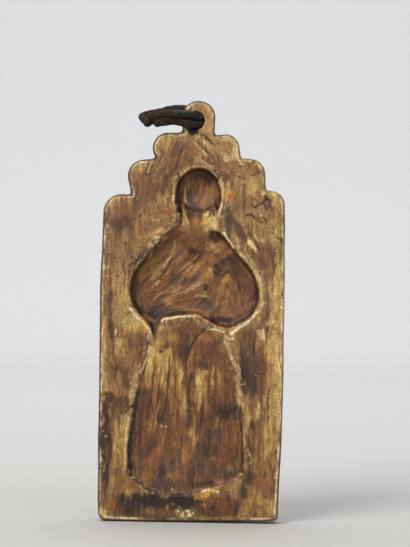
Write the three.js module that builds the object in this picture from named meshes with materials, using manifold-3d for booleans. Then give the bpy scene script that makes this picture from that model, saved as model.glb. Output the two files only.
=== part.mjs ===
// A glazed ceramic wall plaque: a tall board with a scalloped top, a pierced hanging lug, a figure
// sunk into its front like a mould, and the short stiff cord wound through the lug.
// Millimetres. +Z is up, -Y is the front, and the back lies in the plane y = 0.
// The origin is on the hanging hole's axis, in the plane of the back.
import * as THREE from 'three';
import { mergeVertices } from 'three/addons/utils/BufferGeometryUtils.js';
import Module from 'manifold-3d';

// Slab
const THICKNESS = 20;
const EDGE_ROUND = 1.8;
const EDGE_SEGMENTS = 2;
const ARC_DIVISIONS = 6;

// Lug and hanging hole
const LUG = { x: 2.0, z: 1.9, radius: 13.8 };
const LUG_FOOT_LEFT = [-10.4, -9.9];
const LUG_FOOT_RIGHT = [15.3, -11.8];
const HOLE_RADIUS = 7.2;
const HOLE_SEGMENTS = 24;

// Lobes of the stepped top, from the lug outwards: centre, radius, how far round the arc runs
// past its outermost point, and the notch where the next lobe starts
const LOBES_LEFT = [
  { x: -22.3, z: -22.6, radius: 12.3, past: 32, notch: [-32.0, -31.6] },
  { x: -41.3, z: -45.7, radius: 13.2, past: 22, notch: [-51.2, -61.2] },
  { x: -58.9, z: -75.6, radius: 14.9, past: 0 },
];
const LOBES_RIGHT = [
  { x: 23.8, z: -22.4, radius: 11.8, past: 0, notch: [36.6, -30.3] },
  { x: 44.2, z: -43.0, radius: 12.6, past: 0, notch: [57.8, -56.6] },
  { x: 61.7, z: -67.6, radius: 11.4, past: 0 },
];

// Hand-cut sides and foot
const SIDE_LEFT = [[-75.2, -140], [-74.8, -212], [-74.4, -300]];
const SIDE_RIGHT = [[72.5, -300], [74.5, -238], [74.2, -112]];
const FOOT = [[-36, -325.8], [50, -324.4]];
const FOOT_LEFT = { x: -68.2, z: -320.2, radius: 5.4 };
const FOOT_RIGHT = { x: 69.3, z: -320.8, radius: 2.7 };

// Sunk figure: outlines seen from the front, clockwise from the top
const HEAD = { x: 3.2, z: -57, radiusX: 19.3, radiusZ: 18.9 };
const NECK_OUTLINE = [[3, -66], [18.5, -72], [19.4, -80], [21, -90], [3, -97], [-14, -87], [-13.6, -78], [-13, -70]];
const BUST_OUTLINE = [
  [4, -86], [20.6, -88.8], [38.9, -110.5], [50.2, -125], [54.2, -142], [48.3, -157.4], [34.6, -165],
  [14, -162.4], [1.5, -158], [-21, -160.6], [-36, -163.2], [-46.4, -154], [-51.5, -138.5],
  [-46.8, -121.5], [-30, -100.5], [-13.6, -84.4],
];
const SKIRT_OUTLINE = [
  [-4, -168], [25.6, -172], [30.5, -186], [37.6, -212], [42.4, -250], [43.9, -277], [39.5, -291],
  [13, -299.2], [-6, -304.8], [-26, -303], [-42.5, -293.5], [-50, -281], [-50, -252], [-45.6, -220],
  [-38.5, -194], [-32.4, -172],
];

// Depths below the face and the width over which each wall falls
const HEAD_DEPTH = 11.5;
const NECK_DEPTH = 3.2;
const BUST_DEPTH = 8.6;
const SKIRT_DEPTH_TOP = 1.2;
const SKIRT_DEPTH_FOOT = 5.2;
const SKIRT_TOP_Z = -172;
const SKIRT_FOOT_Z = -285;
const BOWL_WALL = 6;
const NECK_WALL = 4;
const SKIRT_WALL = 3;

// Gouge strokes: centre, half length, half width, rounding of the gouge, depth, lean to the right
// from upright, and how far the lower end dips
const BUST_GOUGES = [
  { x: -25.5, z: -117, long: 38, wide: 13.5, round: 7, depth: 11.4, lean: 42, dip: 0 },
  { x: -12, z: -128, long: 42, wide: 17, round: 6, depth: 11.8, lean: 56, dip: 0 },
  { x: 9, z: -114, long: 27, wide: 14, round: 5, depth: 10.6, lean: 30, dip: 0 },
  { x: 27, z: -136, long: 27, wide: 21, round: 7, depth: 12.2, lean: -18, dip: 0 },
  { x: -4, z: -149, long: 34, wide: 11, round: 5, depth: 11, lean: 84, dip: 0 },
];
const HEAD_GOUGES = [
  { x: -11.5, z: -56, long: 15, wide: 4.6, round: 5, depth: 11.4, lean: -4, dip: 0 },
  { x: 6.5, z: -56, long: 17, wide: 12.5, round: 5, depth: 13, lean: 8, dip: 0 },
];
const SKIRT_FLUTES = [
  { x: -36.5, z: -242, long: 66, wide: 5.6, round: 2.2, depth: 5.0, lean: 9.5, dip: 2.1 },
  { x: -25, z: -240, long: 76, wide: 6, round: 2.2, depth: 5.0, lean: 6.5, dip: 2.1 },
  { x: -11.5, z: -240, long: 80, wide: 7.2, round: 2.4, depth: 5.1, lean: 3, dip: 2.1 },
  { x: 3.2, z: -238, long: 74, wide: 6.4, round: 2.2, depth: 5.0, lean: -1, dip: 2.1 },
  { x: 16.5, z: -238, long: 76, wide: 6.6, round: 2.4, depth: 5.1, lean: -4.5, dip: 2.1 },
  { x: 30, z: -240, long: 70, wide: 6, round: 2.2, depth: 5.0, lean: -7.5, dip: 2.1 },
];

// Cord: two turns through the hole, its cut ends facing each other in front
const CORD_DIAMETER = 6;
const CORD_SIDES = 8;
const CORD_STEP = 6;
const CORD_ROUTE = [
  [-33.2, -24.8, -3.2], [-25, -24.8, -2.4], [-16, -24.8, -2.1], [-10.5, -24.5, -2.6], [-5.5, -22.6, -3],
  [-1.8, -19.6, -3.15], [0.8, -15, -3.15], [1.7, -10, -3.15], [0.9, -5, -3.15], [-1.8, -0.4, -3.1],
  [-5.8, 2.9, -2.6], [-11, 4.7, -2], [-17, 4.9, -1.4], [-23, 4.8, -0.8], [-28.1, 3.9, -0.3],
  [-32.5, 1.3, 0.2], [-35.8, -2.6, 0.7], [-37.6, -7.4, 1.3], [-37.6, -12.6, 1.9], [-35.8, -17.4, 2.7],
  [-32.5, -21.3, 3.4], [-28.1, -23.9, 3.9], [-23, -24.8, 4.2], [-16, -24.9, 4.3], [-10.5, -24.5, 4],
  [-5.5, -22.6, 3.5], [-1.8, -19.6, 3.2], [0.8, -15, 3.15], [1.7, -10, 3.15], [0.9, -5, 3.2],
  [-1.8, -0.4, 3.6], [-5.8, 2.9, 4.9], [-11, 4.7, 7.2], [-17, 5.1, 8.9], [-23.4, 5.1, 9],
  [-29.5, 4.8, 8.2], [-34.6, 3.9, 7.4], [-39, 1.3, 6.2], [-42.3, -2.6, 4.6], [-44.1, -7.4, 2.8],
  [-44.1, -12.6, 0.8], [-42.3, -17.4, -1.4], [-39, -21.3, -3.2], [-35.8, -23.4, -4.2],
];

// Glaze and cord colours
const GLAZE_OCHRE = 0x8a6a40;
const CORD_BROWN = 0x3a2c26;

const wasm = await Module();
wasm.setup();

/** A closed three.js geometry as a solid that can be joined and cut. */
function solidOf(geometry) {
  const bare = geometry.clone();
  bare.deleteAttribute('normal');
  bare.deleteAttribute('uv');
  const merged = mergeVertices(bare, 1e-4);
  const vertProperties = new Float32Array(merged.attributes.position.array);
  const triVerts = new Uint32Array(merged.index.array);
  return new wasm.Manifold(new wasm.Mesh({ numProp: 3, vertProperties, triVerts }));
}

/** The solid's surface as a three.js geometry. */
function geometryOf(solid) {
  const mesh = solid.getMesh();
  const geometry = new THREE.BufferGeometry();
  geometry.setAttribute('position', new THREE.BufferAttribute(mesh.vertProperties, 3));
  geometry.setIndex(new THREE.BufferAttribute(mesh.triVerts, 1));
  geometry.computeVertexNormals();
  return geometry;
}

/** The plaque's front outline: foot, right side, right lobes, lug, left lobes, left side. */
function slabShape() {
  const shape = new THREE.Shape();
  const degrees = Math.PI / 180;
  const curve = (points) => shape.splineThru(points.map(([x, z]) => new THREE.Vector2(x, z)));
  shape.moveTo(FOOT_LEFT.x, FOOT_LEFT.z - FOOT_LEFT.radius);
  curve([...FOOT, [FOOT_RIGHT.x, FOOT_RIGHT.z - FOOT_RIGHT.radius]]);
  shape.absarc(FOOT_RIGHT.x, FOOT_RIGHT.z, FOOT_RIGHT.radius, -90 * degrees, 0, false);
  const outerRight = LOBES_RIGHT.at(-1);
  curve([...SIDE_RIGHT, [outerRight.x + outerRight.radius, outerRight.z]]);
  for (const lobe of LOBES_RIGHT.toReversed()) {
    if (lobe.notch) shape.lineTo(...lobe.notch);
    shape.absarc(lobe.x, lobe.z, lobe.radius, -lobe.past * degrees, 90 * degrees, false);
  }
  shape.lineTo(...LUG_FOOT_RIGHT);
  shape.absarc(LUG.x, LUG.z, LUG.radius, -8 * degrees, 188 * degrees, false);
  shape.lineTo(...LUG_FOOT_LEFT);
  for (const lobe of LOBES_LEFT) {
    shape.absarc(lobe.x, lobe.z, lobe.radius, 90 * degrees, (180 + lobe.past) * degrees, false);
    if (lobe.notch) shape.lineTo(...lobe.notch);
  }
  curve([...SIDE_LEFT, [FOOT_LEFT.x - FOOT_LEFT.radius, FOOT_LEFT.z]]);
  shape.absarc(FOOT_LEFT.x, FOOT_LEFT.z, FOOT_LEFT.radius, 180 * degrees, 270 * degrees, false);
  return shape;
}

/** The uncut slab, its back in the plane y = 0 and both edges rounded. */
function slabSolid() {
  const geometry = new THREE.ExtrudeGeometry(slabShape(), {
    depth: THICKNESS - 2 * EDGE_ROUND,
    curveSegments: ARC_DIVISIONS,
    bevelThickness: EDGE_ROUND,
    bevelSize: EDGE_ROUND,
    bevelOffset: -EDGE_ROUND,
    bevelSegments: EDGE_SEGMENTS,
  });
  geometry.translate(0, 0, EDGE_ROUND);
  geometry.rotateX(Math.PI / 2);
  return solidOf(geometry);
}

/** The hanging hole's cutter, flared at both faces, turned on the hole's axis. */
function holeCutter() {
  const past = 1;
  const flare = EDGE_ROUND + past;
  const profile = [
    [0, -THICKNESS - past], [HOLE_RADIUS + flare, -THICKNESS - past], [HOLE_RADIUS + 0.7, -THICKNESS + 0.8],
    [HOLE_RADIUS, -THICKNESS + EDGE_ROUND + 0.8], [HOLE_RADIUS, -EDGE_ROUND - 0.8],
    [HOLE_RADIUS + 0.7, -0.8], [HOLE_RADIUS + flare, past], [0, past],
  ];
  return solidOf(new THREE.LatheGeometry(profile.map(([r, y]) => new THREE.Vector2(r, y)), HOLE_SEGMENTS));
}

/** A smooth closed outline through the named points. */
function closedOutline(points) {
  return new THREE.CatmullRomCurve3(points.map(([x, z]) => new THREE.Vector3(x, 0, z)), true);
}

/** A closed oval outline, clockwise from the top as the other outlines are. */
function ovalOutline({ x, z, radiusX, radiusZ }) {
  const count = 12;
  const points = Array.from({ length: count }, (_, i) => {
    const turn = (i / count) * 2 * Math.PI;
    return [x + radiusX * Math.sin(turn), z + radiusZ * Math.cos(turn)];
  });
  return closedOutline(points);
}

/** How far a point lies from an outline given as a row of points. */
function distanceTo(outlinePoints, point) {
  const segment = new THREE.Line3();
  const nearest = new THREE.Vector3();
  let best = Infinity;
  outlinePoints.forEach((start, i) => {
    segment.set(start, outlinePoints[(i + 1) % outlinePoints.length]);
    segment.closestPointToPoint(point, true, nearest);
    best = Math.min(best, nearest.distanceTo(point));
  });
  return best;
}

/**
 * A bowl-shaped cutter: a unit bowl turned on a lathe and stretched to the outline. Its rings shrink
 * towards an upright spine, and its floor lies at depthAt(z) below the face, reached over wallWidth.
 */
function bowlCutter({ outline, spine, around, wallWidth, depthAt }) {
  const rings = [1, 0.975, 0.93, 0.86, 0.74, 0.5, 0.2, 0];
  const above = 3;
  const profile = [new THREE.Vector2(0, 1), new THREE.Vector2(1, 1), ...rings.map((r) => new THREE.Vector2(r, 0))];
  const bowl = new THREE.LatheGeometry(profile, around);
  const outlinePoints = outline.getSpacedPoints(160).slice(0, -1);
  const place = bowl.attributes.position;
  const middle = (spine.top + spine.foot) / 2;
  for (let i = 0; i < place.count; i++) {
    const unitRadius = Math.hypot(place.getX(i), place.getZ(i));
    const isLid = place.getY(i) > 0.5;
    const turn = Math.atan2(place.getX(i), place.getZ(i)) / (2 * Math.PI);
    const rim = outline.getPointAt((((Math.round(turn * around) / around) % 1) + 1) % 1);
    const root = new THREE.Vector3(spine.x, 0, THREE.MathUtils.clamp(rim.z, spine.foot, spine.top));
    const spot = unitRadius < 1e-6 ? new THREE.Vector3(spine.x, 0, middle) : root.lerp(rim, unitRadius);
    const inside = unitRadius > 0.999 ? 0 : Math.min(distanceTo(outlinePoints, spot) / wallWidth, 1);
    const sunk = depthAt(spot.z) * Math.sqrt(1 - (1 - inside) ** 2);
    place.setXYZ(i, spot.x, -THICKNESS + (isLid ? -above : sunk), spot.z);
  }
  return solidOf(bowl);
}

/** One gouge stroke: a long ellipsoid that reaches the given depth below the face. */
function gougeCutter({ x, z, long, wide, round, depth, lean, dip }) {
  const around = 16;
  const along = 12;
  const stroke = new THREE.SphereGeometry(1, around, along);
  stroke.rotateX(Math.PI / 2);
  stroke.scale(wide, round, long);
  stroke.rotateX(THREE.MathUtils.degToRad(dip));
  stroke.rotateY(THREE.MathUtils.degToRad(lean));
  stroke.translate(x, -THICKNESS + depth - round, z);
  return solidOf(stroke);
}

/** The upright prism over an outline, from in front of the face to the back. */
function prismOver(outline) {
  const rim = outline.getSpacedPoints(48).slice(0, -1).map((p) => new THREE.Vector2(p.x, p.z));
  const geometry = new THREE.ExtrudeGeometry(new THREE.Shape(rim), { depth: 2 * THICKNESS, bevelEnabled: false });
  geometry.rotateX(Math.PI / 2);
  return solidOf(geometry);
}

/** The plaque: the slab with its hole, the figure's hollows and the gouge strokes in their floors. */
function plaque() {
  const skirtDepth = (z) => THREE.MathUtils.mapLinear(
    THREE.MathUtils.clamp(z, SKIRT_FOOT_Z, SKIRT_TOP_Z), SKIRT_TOP_Z, SKIRT_FOOT_Z, SKIRT_DEPTH_TOP, SKIRT_DEPTH_FOOT);
  const hollows = [
    { outline: ovalOutline(HEAD), spine: { x: HEAD.x, top: HEAD.z, foot: HEAD.z }, around: 32,
      wallWidth: BOWL_WALL, depthAt: () => HEAD_DEPTH, gouges: HEAD_GOUGES },
    { outline: closedOutline(NECK_OUTLINE), spine: { x: 3, top: -80, foot: -82 }, around: 24,
      wallWidth: NECK_WALL, depthAt: () => NECK_DEPTH, gouges: [] },
    { outline: closedOutline(BUST_OUTLINE), spine: { x: 2, top: -122, foot: -130 }, around: 48,
      wallWidth: BOWL_WALL, depthAt: () => BUST_DEPTH, gouges: BUST_GOUGES },
    { outline: closedOutline(SKIRT_OUTLINE), spine: { x: -3, top: -200, foot: -270 }, around: 48,
      wallWidth: SKIRT_WALL, depthAt: skirtDepth, gouges: SKIRT_FLUTES },
  ];
  let solid = slabSolid().subtract(holeCutter());
  for (const hollow of hollows) {
    const prism = prismOver(hollow.outline);
    solid = solid.subtract(bowlCutter(hollow));
    for (const stroke of hollow.gouges) solid = solid.subtract(gougeCutter(stroke).intersect(prism));
  }
  const material = new THREE.MeshStandardMaterial({ color: GLAZE_OCHRE, roughness: 0.42, metalness: 0 });
  const mesh = new THREE.Mesh(geometryOf(solid), material);
  mesh.name = 'plaque';
  return mesh;
}

/** The cord as one plain tube along its route. */
function hangingCord() {
  const route = new THREE.CatmullRomCurve3(CORD_ROUTE.map((p) => new THREE.Vector3(...p)), false, 'centripetal');
  const section = new THREE.Shape();
  for (let i = 0; i < CORD_SIDES; i++) {
    const turn = ((i + 0.5) / CORD_SIDES) * 2 * Math.PI;
    const corner = [(CORD_DIAMETER / 2) * Math.cos(turn), (CORD_DIAMETER / 2) * Math.sin(turn)];
    if (i === 0) section.moveTo(...corner);
    else section.lineTo(...corner);
  }
  section.closePath();
  const geometry = new THREE.ExtrudeGeometry(section, {
    steps: Math.round(route.getLength() / CORD_STEP),
    extrudePath: route,
  });
  const material = new THREE.MeshStandardMaterial({ color: CORD_BROWN, roughness: 0.7, metalness: 0 });
  const mesh = new THREE.Mesh(geometry, material);
  mesh.name = 'hanging_cord';
  return mesh;
}

const model = new THREE.Group();
model.add(plaque(), hangingCord());

export default model;
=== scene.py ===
"""A glazed ceramic wall plaque with a sunk figure, and the stiff cord wound through its hanging hole.

The plaque is one slab of clay, cut by hand, carved with gouges and covered with a mottled ochre and
brown glaze that has worn to cream on the arrises. Its colours also hold painted highlights on rims and
glints and painted shade beside the figure, under the cord and on the sides. Sizes are millimetres
until a mesh is placed.
"""
import itertools
import logging
import math
from dataclasses import dataclass, field
from enum import Enum

import bmesh
import bpy
import numpy as np
from mathutils import Matrix, Vector


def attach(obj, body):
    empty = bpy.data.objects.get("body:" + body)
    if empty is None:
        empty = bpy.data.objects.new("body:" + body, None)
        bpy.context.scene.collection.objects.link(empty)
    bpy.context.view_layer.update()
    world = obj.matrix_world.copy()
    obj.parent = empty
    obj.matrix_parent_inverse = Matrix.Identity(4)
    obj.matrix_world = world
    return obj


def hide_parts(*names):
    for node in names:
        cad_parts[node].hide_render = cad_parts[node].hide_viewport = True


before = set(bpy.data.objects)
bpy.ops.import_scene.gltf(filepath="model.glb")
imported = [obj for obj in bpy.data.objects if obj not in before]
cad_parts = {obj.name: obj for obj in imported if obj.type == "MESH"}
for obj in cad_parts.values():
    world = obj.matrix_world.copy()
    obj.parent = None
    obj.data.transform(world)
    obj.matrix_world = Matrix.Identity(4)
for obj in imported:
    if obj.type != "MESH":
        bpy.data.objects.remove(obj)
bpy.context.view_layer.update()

LOG = logging.getLogger("plaque")
Points = np.ndarray
MM = 0.001
# The photograph's height, pixels.
PHOTO_HEIGHT = 547
# How tall the finishes' bumps are, millimetres.
BUMP_HEIGHT = 0.5
# The noise: large odd numbers that scatter its lattice, then how it adds finer detail and how far it swings.
HASH_X, HASH_Y, HASH_Z, HASH_SEED, HASH_MIX = 73856093, 19349663, 83492791, 2654435761, 1274126177
OCTAVE_WEIGHT, OCTAVE_APART, GRAIN_SPREAD = 0.55, 7.3, 1.4


def linear(hex_colour: str) -> tuple[float, float, float, float]:
    """Turn an sRGB hex colour into the linear colour a shader takes.

    Args:
        hex_colour: six hex digits with a leading #.

    Returns:
        Red, green, blue and alpha, linear, from 0 to 1.
    """
    channels = [int(hex_colour[i:i + 2], 16) / 255 for i in (1, 3, 5)]
    return tuple(c / 12.92 if c <= 0.04045 else ((c + 0.055) / 1.055) ** 2.4 for c in channels) + (1.0,)


def add_node(tree: bpy.types.NodeTree, kind: str, inputs: dict | None = None, **settings) -> bpy.types.Node:
    """Add one node with its settings and its links.

    Args:
        tree: the node tree it goes in.
        kind: the node's type name.
        inputs: socket name or number to a value, or to the output socket that is linked to it.
        **settings: the node's own properties.

    Returns:
        The new node.
    """
    node = tree.nodes.new(kind)
    for name, value in settings.items():
        setattr(node, name, value)
    for key, value in (inputs or {}).items():
        if isinstance(value, bpy.types.NodeSocket):
            tree.links.new(value, node.inputs[key])
        else:
            node.inputs[key].default_value = value
    return node


def add_noise(tree: bpy.types.NodeTree, place: bpy.types.NodeSocket, size: float, detail: float,
              roughness: float = 0.5) -> bpy.types.NodeSocket:
    """Add a noise pattern.

    Args:
        tree: the node tree it goes in.
        place: the coordinates it is drawn on.
        size: size of the pattern, millimetres.
        detail: how many times finer detail is added.
        roughness: how strong the finer detail is.

    Returns:
        The pattern, from 0 to 1.
    """
    return add_node(tree, "ShaderNodeTexNoise", {
        "Vector": place, "Scale": 1 / (size * MM), "Detail": detail, "Roughness": roughness}).outputs["Fac"]


def add_range(tree: bpy.types.NodeTree, value: bpy.types.NodeSocket, low: float, high: float,
              to_low: float = 0.0, to_high: float = 1.0) -> bpy.types.NodeSocket:
    """Stretch a value from one range to another and clamp it there.

    Args:
        tree: the node tree it goes in.
        value: the value.
        low: where the first range starts.
        high: where the first range ends.
        to_low: what low becomes.
        to_high: what high becomes.

    Returns:
        The stretched value.
    """
    return add_node(tree, "ShaderNodeMapRange", {0: value, 1: low, 2: high, 3: to_low, 4: to_high}).outputs[0]


def add_maths(tree: bpy.types.NodeTree, operation: str,
              *values: bpy.types.NodeSocket | float) -> bpy.types.NodeSocket:
    """Add one calculation on values, named as the Math node names it, and return its result."""
    return add_node(tree, "ShaderNodeMath", dict(enumerate(values)), operation=operation).outputs[0]


def add_mix(tree: bpy.types.NodeTree, factor: bpy.types.NodeSocket | float, first: bpy.types.NodeSocket,
            second: bpy.types.NodeSocket | tuple, blend: str = "MIX") -> bpy.types.NodeSocket:
    """Mix two colours.

    Args:
        tree: the node tree it goes in.
        factor: how much of the second, from 0 to 1.
        first: the first colour.
        second: the second colour.
        blend: how they mix, as the Mix node names it.

    Returns:
        The mixed colour.
    """
    return add_node(tree, "ShaderNodeMix", {0: factor, 6: first, 7: second},
                    data_type="RGBA", blend_type=blend).outputs[2]


def finish_shader(tree: bpy.types.NodeTree, shader: bpy.types.Node, colour: bpy.types.NodeSocket,
                  roughness: bpy.types.NodeSocket, height: bpy.types.NodeSocket, strength: float) -> None:
    """Give a shader its colour, its roughness and a shallow bump.

    Args:
        tree: the node tree it is in.
        shader: the Principled shader.
        colour: its colour.
        roughness: its roughness.
        height: the bump's height, from 0 to 1.
        strength: the bump's strength.
    """
    bump = add_node(tree, "ShaderNodeBump",
                    {"Height": height, "Strength": strength, "Distance": BUMP_HEIGHT * MM})
    tree.links.new(colour, shader.inputs["Base Color"])
    tree.links.new(roughness, shader.inputs["Roughness"])
    tree.links.new(bump.outputs["Normal"], shader.inputs["Normal"])


def new_material(name: str) -> tuple[bpy.types.Material, bpy.types.NodeTree, bpy.types.Node]:
    """Make an empty node material.

    Args:
        name: the finish it stands for.

    Returns:
        The material, its tree and its Principled shader.
    """
    material = bpy.data.materials.new(name)
    material.use_nodes = True
    tree = material.node_tree
    tree.nodes.clear()
    shader = add_node(tree, "ShaderNodeBsdfPrincipled")
    add_node(tree, "ShaderNodeOutputMaterial", {"Surface": shader.outputs["BSDF"]})
    return material, tree, shader


def ramp(tree: bpy.types.NodeTree, factor: bpy.types.NodeSocket,
         stops: list[tuple[float, str]]) -> bpy.types.NodeSocket:
    """Add a colour ramp.

    Args:
        tree: the node tree it goes in.
        factor: what drives it.
        stops: place and sRGB hex colour of each stop, in order.

    Returns:
        The ramp's colour.
    """
    node = add_node(tree, "ShaderNodeValToRGB", {"Fac": factor})
    elements = node.color_ramp.elements
    while len(elements) < len(stops):
        elements.new(0.5)
    for element, (place, colour) in zip(elements, stops):
        element.position = place
        element.color = linear(colour)
    return node.outputs["Color"]


def lattice_noise(points: Points, seed: int) -> Points:
    """Smooth random values on a unit lattice.

    Args:
        points: (n, 3) places in lattice units.
        seed: picks the pattern.

    Returns:
        (n,) values from -1 to 1.
    """
    cell = np.floor(points).astype(np.int64)
    part = points - cell
    ease = part * part * (3 - 2 * part)
    total = np.zeros(len(points))
    for corner in itertools.product((0, 1), repeat=3):
        at = cell + corner
        key = at[:, 0] * HASH_X ^ at[:, 1] * HASH_Y ^ at[:, 2] * HASH_Z ^ seed * HASH_SEED
        key = (key ^ (key >> 13)) * HASH_MIX & 0xFFFFFFFF
        value = ((key ^ (key >> 16)) & 0xFFFF) / 32767.5 - 1
        total += value * np.prod(np.where(corner, ease, 1 - ease), axis=1)
    return total


def grain(x: Points, z: Points, across: float, along: float, lean: float, seed: int,
          octaves: int = 3) -> Points:
    """Noise drawn out along one direction, as brushed glaze or a gouge's cut is.

    Args:
        x: places across the plaque, millimetres.
        z: places up the plaque, millimetres.
        across: size of the pattern across the strokes, millimetres.
        along: size of the pattern along the strokes, millimetres.
        lean: how far the strokes lean right from upright, degrees.
        seed: picks the pattern.
        octaves: how many times finer detail is added.

    Returns:
        Values from about -1 to 1.
    """
    turn = math.radians(lean)
    u = (x * math.cos(turn) - z * math.sin(turn)) / across
    v = (x * math.sin(turn) + z * math.cos(turn)) / along
    total, size = np.zeros(len(x)), 0.0
    for octave in range(octaves):
        scale, weight = 2.0 ** octave, OCTAVE_WEIGHT ** octave
        layer = np.full(len(x), OCTAVE_APART * octave)
        total += weight * lattice_noise(np.stack([u * scale, v * scale, layer], 1), seed + octave)
        size += weight
    return total / size * GRAIN_SPREAD


def smooth_step(low: float, high: float, value: Points) -> Points:
    """Ease from 0 at low to 1 at high."""
    part = np.clip((value - low) / (high - low), 0, 1)
    return part * part * (3 - 2 * part)


def clamped(value: float) -> float:
    """Return the value, or the nearer end of 0 to 1 where it lies outside."""
    return min(max(value, 0), 1)


def spline(row: Points, steps: int) -> list[Points]:
    """Draw a smooth curve through all but the first and last of some points, which only steer its ends.

    Args:
        row: (n, k) points.
        steps: how many stretches are drawn from one point to the next.

    Returns:
        (steps, k) places for each pair of neighbours, without the curve's last place.
    """
    part = np.linspace(0, 1, steps, endpoint=False)[:, None]
    return [0.5 * (2 * b + (c - a) * part + (2 * a - 5 * b + 4 * c - d) * part ** 2
                   + (3 * b - a - 3 * c + d) * part ** 3)
            for a, b, c, d in zip(row, row[1:], row[2:], row[3:])]


def catmull_rom(points: list[tuple[float, float]], closed: bool, steps: int) -> Points:
    """Draw a smooth curve through all the points.

    Args:
        points: the points it passes through.
        closed: whether it joins up.
        steps: how many stretches are drawn from one point to the next.

    Returns:
        (n, 2) points along the curve.
    """
    row = np.array(points, float)
    row = np.vstack([row[-1:], row, row[:2]]) if closed else np.vstack([row[:1], row, row[-1:]])
    pieces = spline(row, steps)
    return np.vstack(pieces if closed else [*pieces, row[-1:]])


def arc(x: float, z: float, radius: float, start: float, end: float, steps: int = 24) -> Points:
    """Draw an arc, in degrees counter-clockwise from +X."""
    turn = np.radians(np.linspace(start, end, steps))
    return np.stack([x + radius * np.cos(turn), z + radius * np.sin(turn)], 1)


def depth_inside(outline: Points, x: Points, z: Points) -> Points:
    """Measure how far each place lies inside a closed outline.

    Args:
        outline: (n, 2) points of the outline.
        x: places across.
        z: places up.

    Returns:
        Distance to the outline, negative outside.
    """
    start, end = outline, np.roll(outline, -1, axis=0)
    edge = end - start
    nearest = np.full(len(x), 1e9)
    inside = np.zeros(len(x), bool)
    for (sx, sz), (ex, ez), (_, tz) in zip(start, edge, end):
        along = np.clip(((x - sx) * ex + (z - sz) * ez) / (ex * ex + ez * ez + 1e-12), 0, 1)
        np.minimum(nearest, (x - sx - along * ex) ** 2 + (z - sz - along * ez) ** 2, out=nearest)
        if ez != 0:
            inside ^= ((sz > z) != (tz > z)) & (x < sx + (z - sz) * ex / ez)
    return np.sqrt(nearest) * np.where(inside, 1, -1)


def run_along(line: Points) -> Points:
    """Return how far along a line each of its points lies."""
    return np.concatenate([[0], np.cumsum(np.linalg.norm(np.diff(line, axis=0), axis=1))])


def finished_mesh(piece: bpy.types.Object) -> None:
    """Replace a piece's mesh by what its modifiers make of it, and take them off.

    Args:
        piece: the piece.
    """
    bpy.context.view_layer.update()
    shaped = bpy.data.meshes.new_from_object(piece.evaluated_get(bpy.context.evaluated_depsgraph_get()))
    piece.modifiers.clear()
    old, piece.data = piece.data, shaped
    bpy.data.meshes.remove(old)
    shaped.name = piece.name


def new_object(name: str, shape: bmesh.types.BMesh) -> bpy.types.Object:
    """Turn a bmesh into an object in the scene.

    Args:
        name: the piece's name.
        shape: the bmesh, which is freed.

    Returns:
        The object, at the origin.
    """
    mesh = bpy.data.meshes.new(name)
    shape.to_mesh(mesh)
    shape.free()
    piece = bpy.data.objects.new(name, mesh)
    bpy.context.collection.objects.link(piece)
    return piece


def vectors_of(items: bpy.types.bpy_prop_collection, name: str) -> Points:
    """Read one vector of each item of a mesh.

    Args:
        items: the mesh's vertices or their normals.
        name: the vector's name.

    Returns:
        (n, 3) values.
    """
    flat = np.empty(len(items) * 3, np.float32)
    items.foreach_get(name, flat)
    return flat.reshape(-1, 3).astype(float)


def places_of(mesh: bpy.types.Mesh) -> Points:
    """Read a mesh's vertices as (n, 3) metres."""
    return vectors_of(mesh.vertices, "co")


def set_places(mesh: bpy.types.Mesh, places: Points) -> None:
    """Write (n, 3) metres back to a mesh's vertices."""
    mesh.vertices.foreach_set("co", places.astype(np.float32).ravel())
    mesh.update()


def normals_of(mesh: bpy.types.Mesh) -> Points:
    """Read a mesh's vertex normals as (n, 3)."""
    return vectors_of(mesh.vertex_normals, "vector")


def set_attribute(mesh: bpy.types.Mesh, name: str, values: Points, kind: str = "FLOAT",
                  part: str = "value") -> None:
    """Store values for each vertex under a name that a material reads.

    Args:
        mesh: the mesh.
        name: the attribute's name.
        values: one value or row of values for each vertex.
        kind: the attribute's type.
        part: what that type calls its values.
    """
    layer = mesh.attributes.new(name, kind, "POINT")
    layer.data.foreach_set(part, values.astype(np.float32).ravel())


class Glaze(Enum):
    """The colours laid on the plaque, from sooty black to worn cream; some dabs and marks also use them as
    painted shade and painted highlights.
    """

    SOOT = "#23150d"
    UMBER = "#3c2415"
    SLATE = "#453a33"
    MAUVE = "#5f4132"
    RUSSET = "#6c432a"
    BROWN = "#7c5537"
    RUST = "#9c5c22"
    OCHRE = "#8e653a"
    TAN = "#a37f4f"
    GOLD = "#b4863a"
    STRAW = "#b69358"
    SAND = "#c6a876"
    CREAM = "#e5d0a4"

    def linear(self) -> Points:
        """Return it as linear red, green and blue."""
        return np.array(linear(self.value)[:3])


SOOT, UMBER, SLATE, MAUVE, RUSSET, BROWN, RUST, OCHRE, TAN, GOLD, STRAW, SAND, CREAM = Glaze


@dataclass(frozen=True)
class Hollow:
    """One hollow of the sunk figure."""

    outline: tuple
    wall: float
    depth_top: float
    depth_foot: float
    top: float
    foot: float

    def curve(self) -> Points:
        """Return its outline as a smooth closed row of points."""
        return catmull_rom(list(self.outline), True, 12)

    def floor(self, z: Points) -> Points:
        """Return how deep its floor lies at each height."""
        part = np.clip((self.top - z) / max(self.top - self.foot, 1e-6), 0, 1)
        return self.depth_top + (self.depth_foot - self.depth_top) * part


def shade_smooth(mesh: bpy.types.Mesh) -> None:
    """Shade all of a mesh's faces smooth."""
    mesh.polygons.foreach_set("use_smooth", np.ones(len(mesh.polygons), bool))


def triangles_of(mesh: bpy.types.Mesh) -> int:
    """Count a mesh's triangles, with each larger face cut up into them."""
    return sum(len(polygon.vertices) - 2 for polygon in mesh.polygons)


def lay(colour: Points, glaze: Glaze, cover: Points, reached: Points | slice = slice(None)) -> None:
    """Lay one glaze over the colours, in place, as strongly as it covers each place it reaches."""
    colour[reached] += (glaze.linear() - colour[reached]) * cover[:, None]


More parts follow.
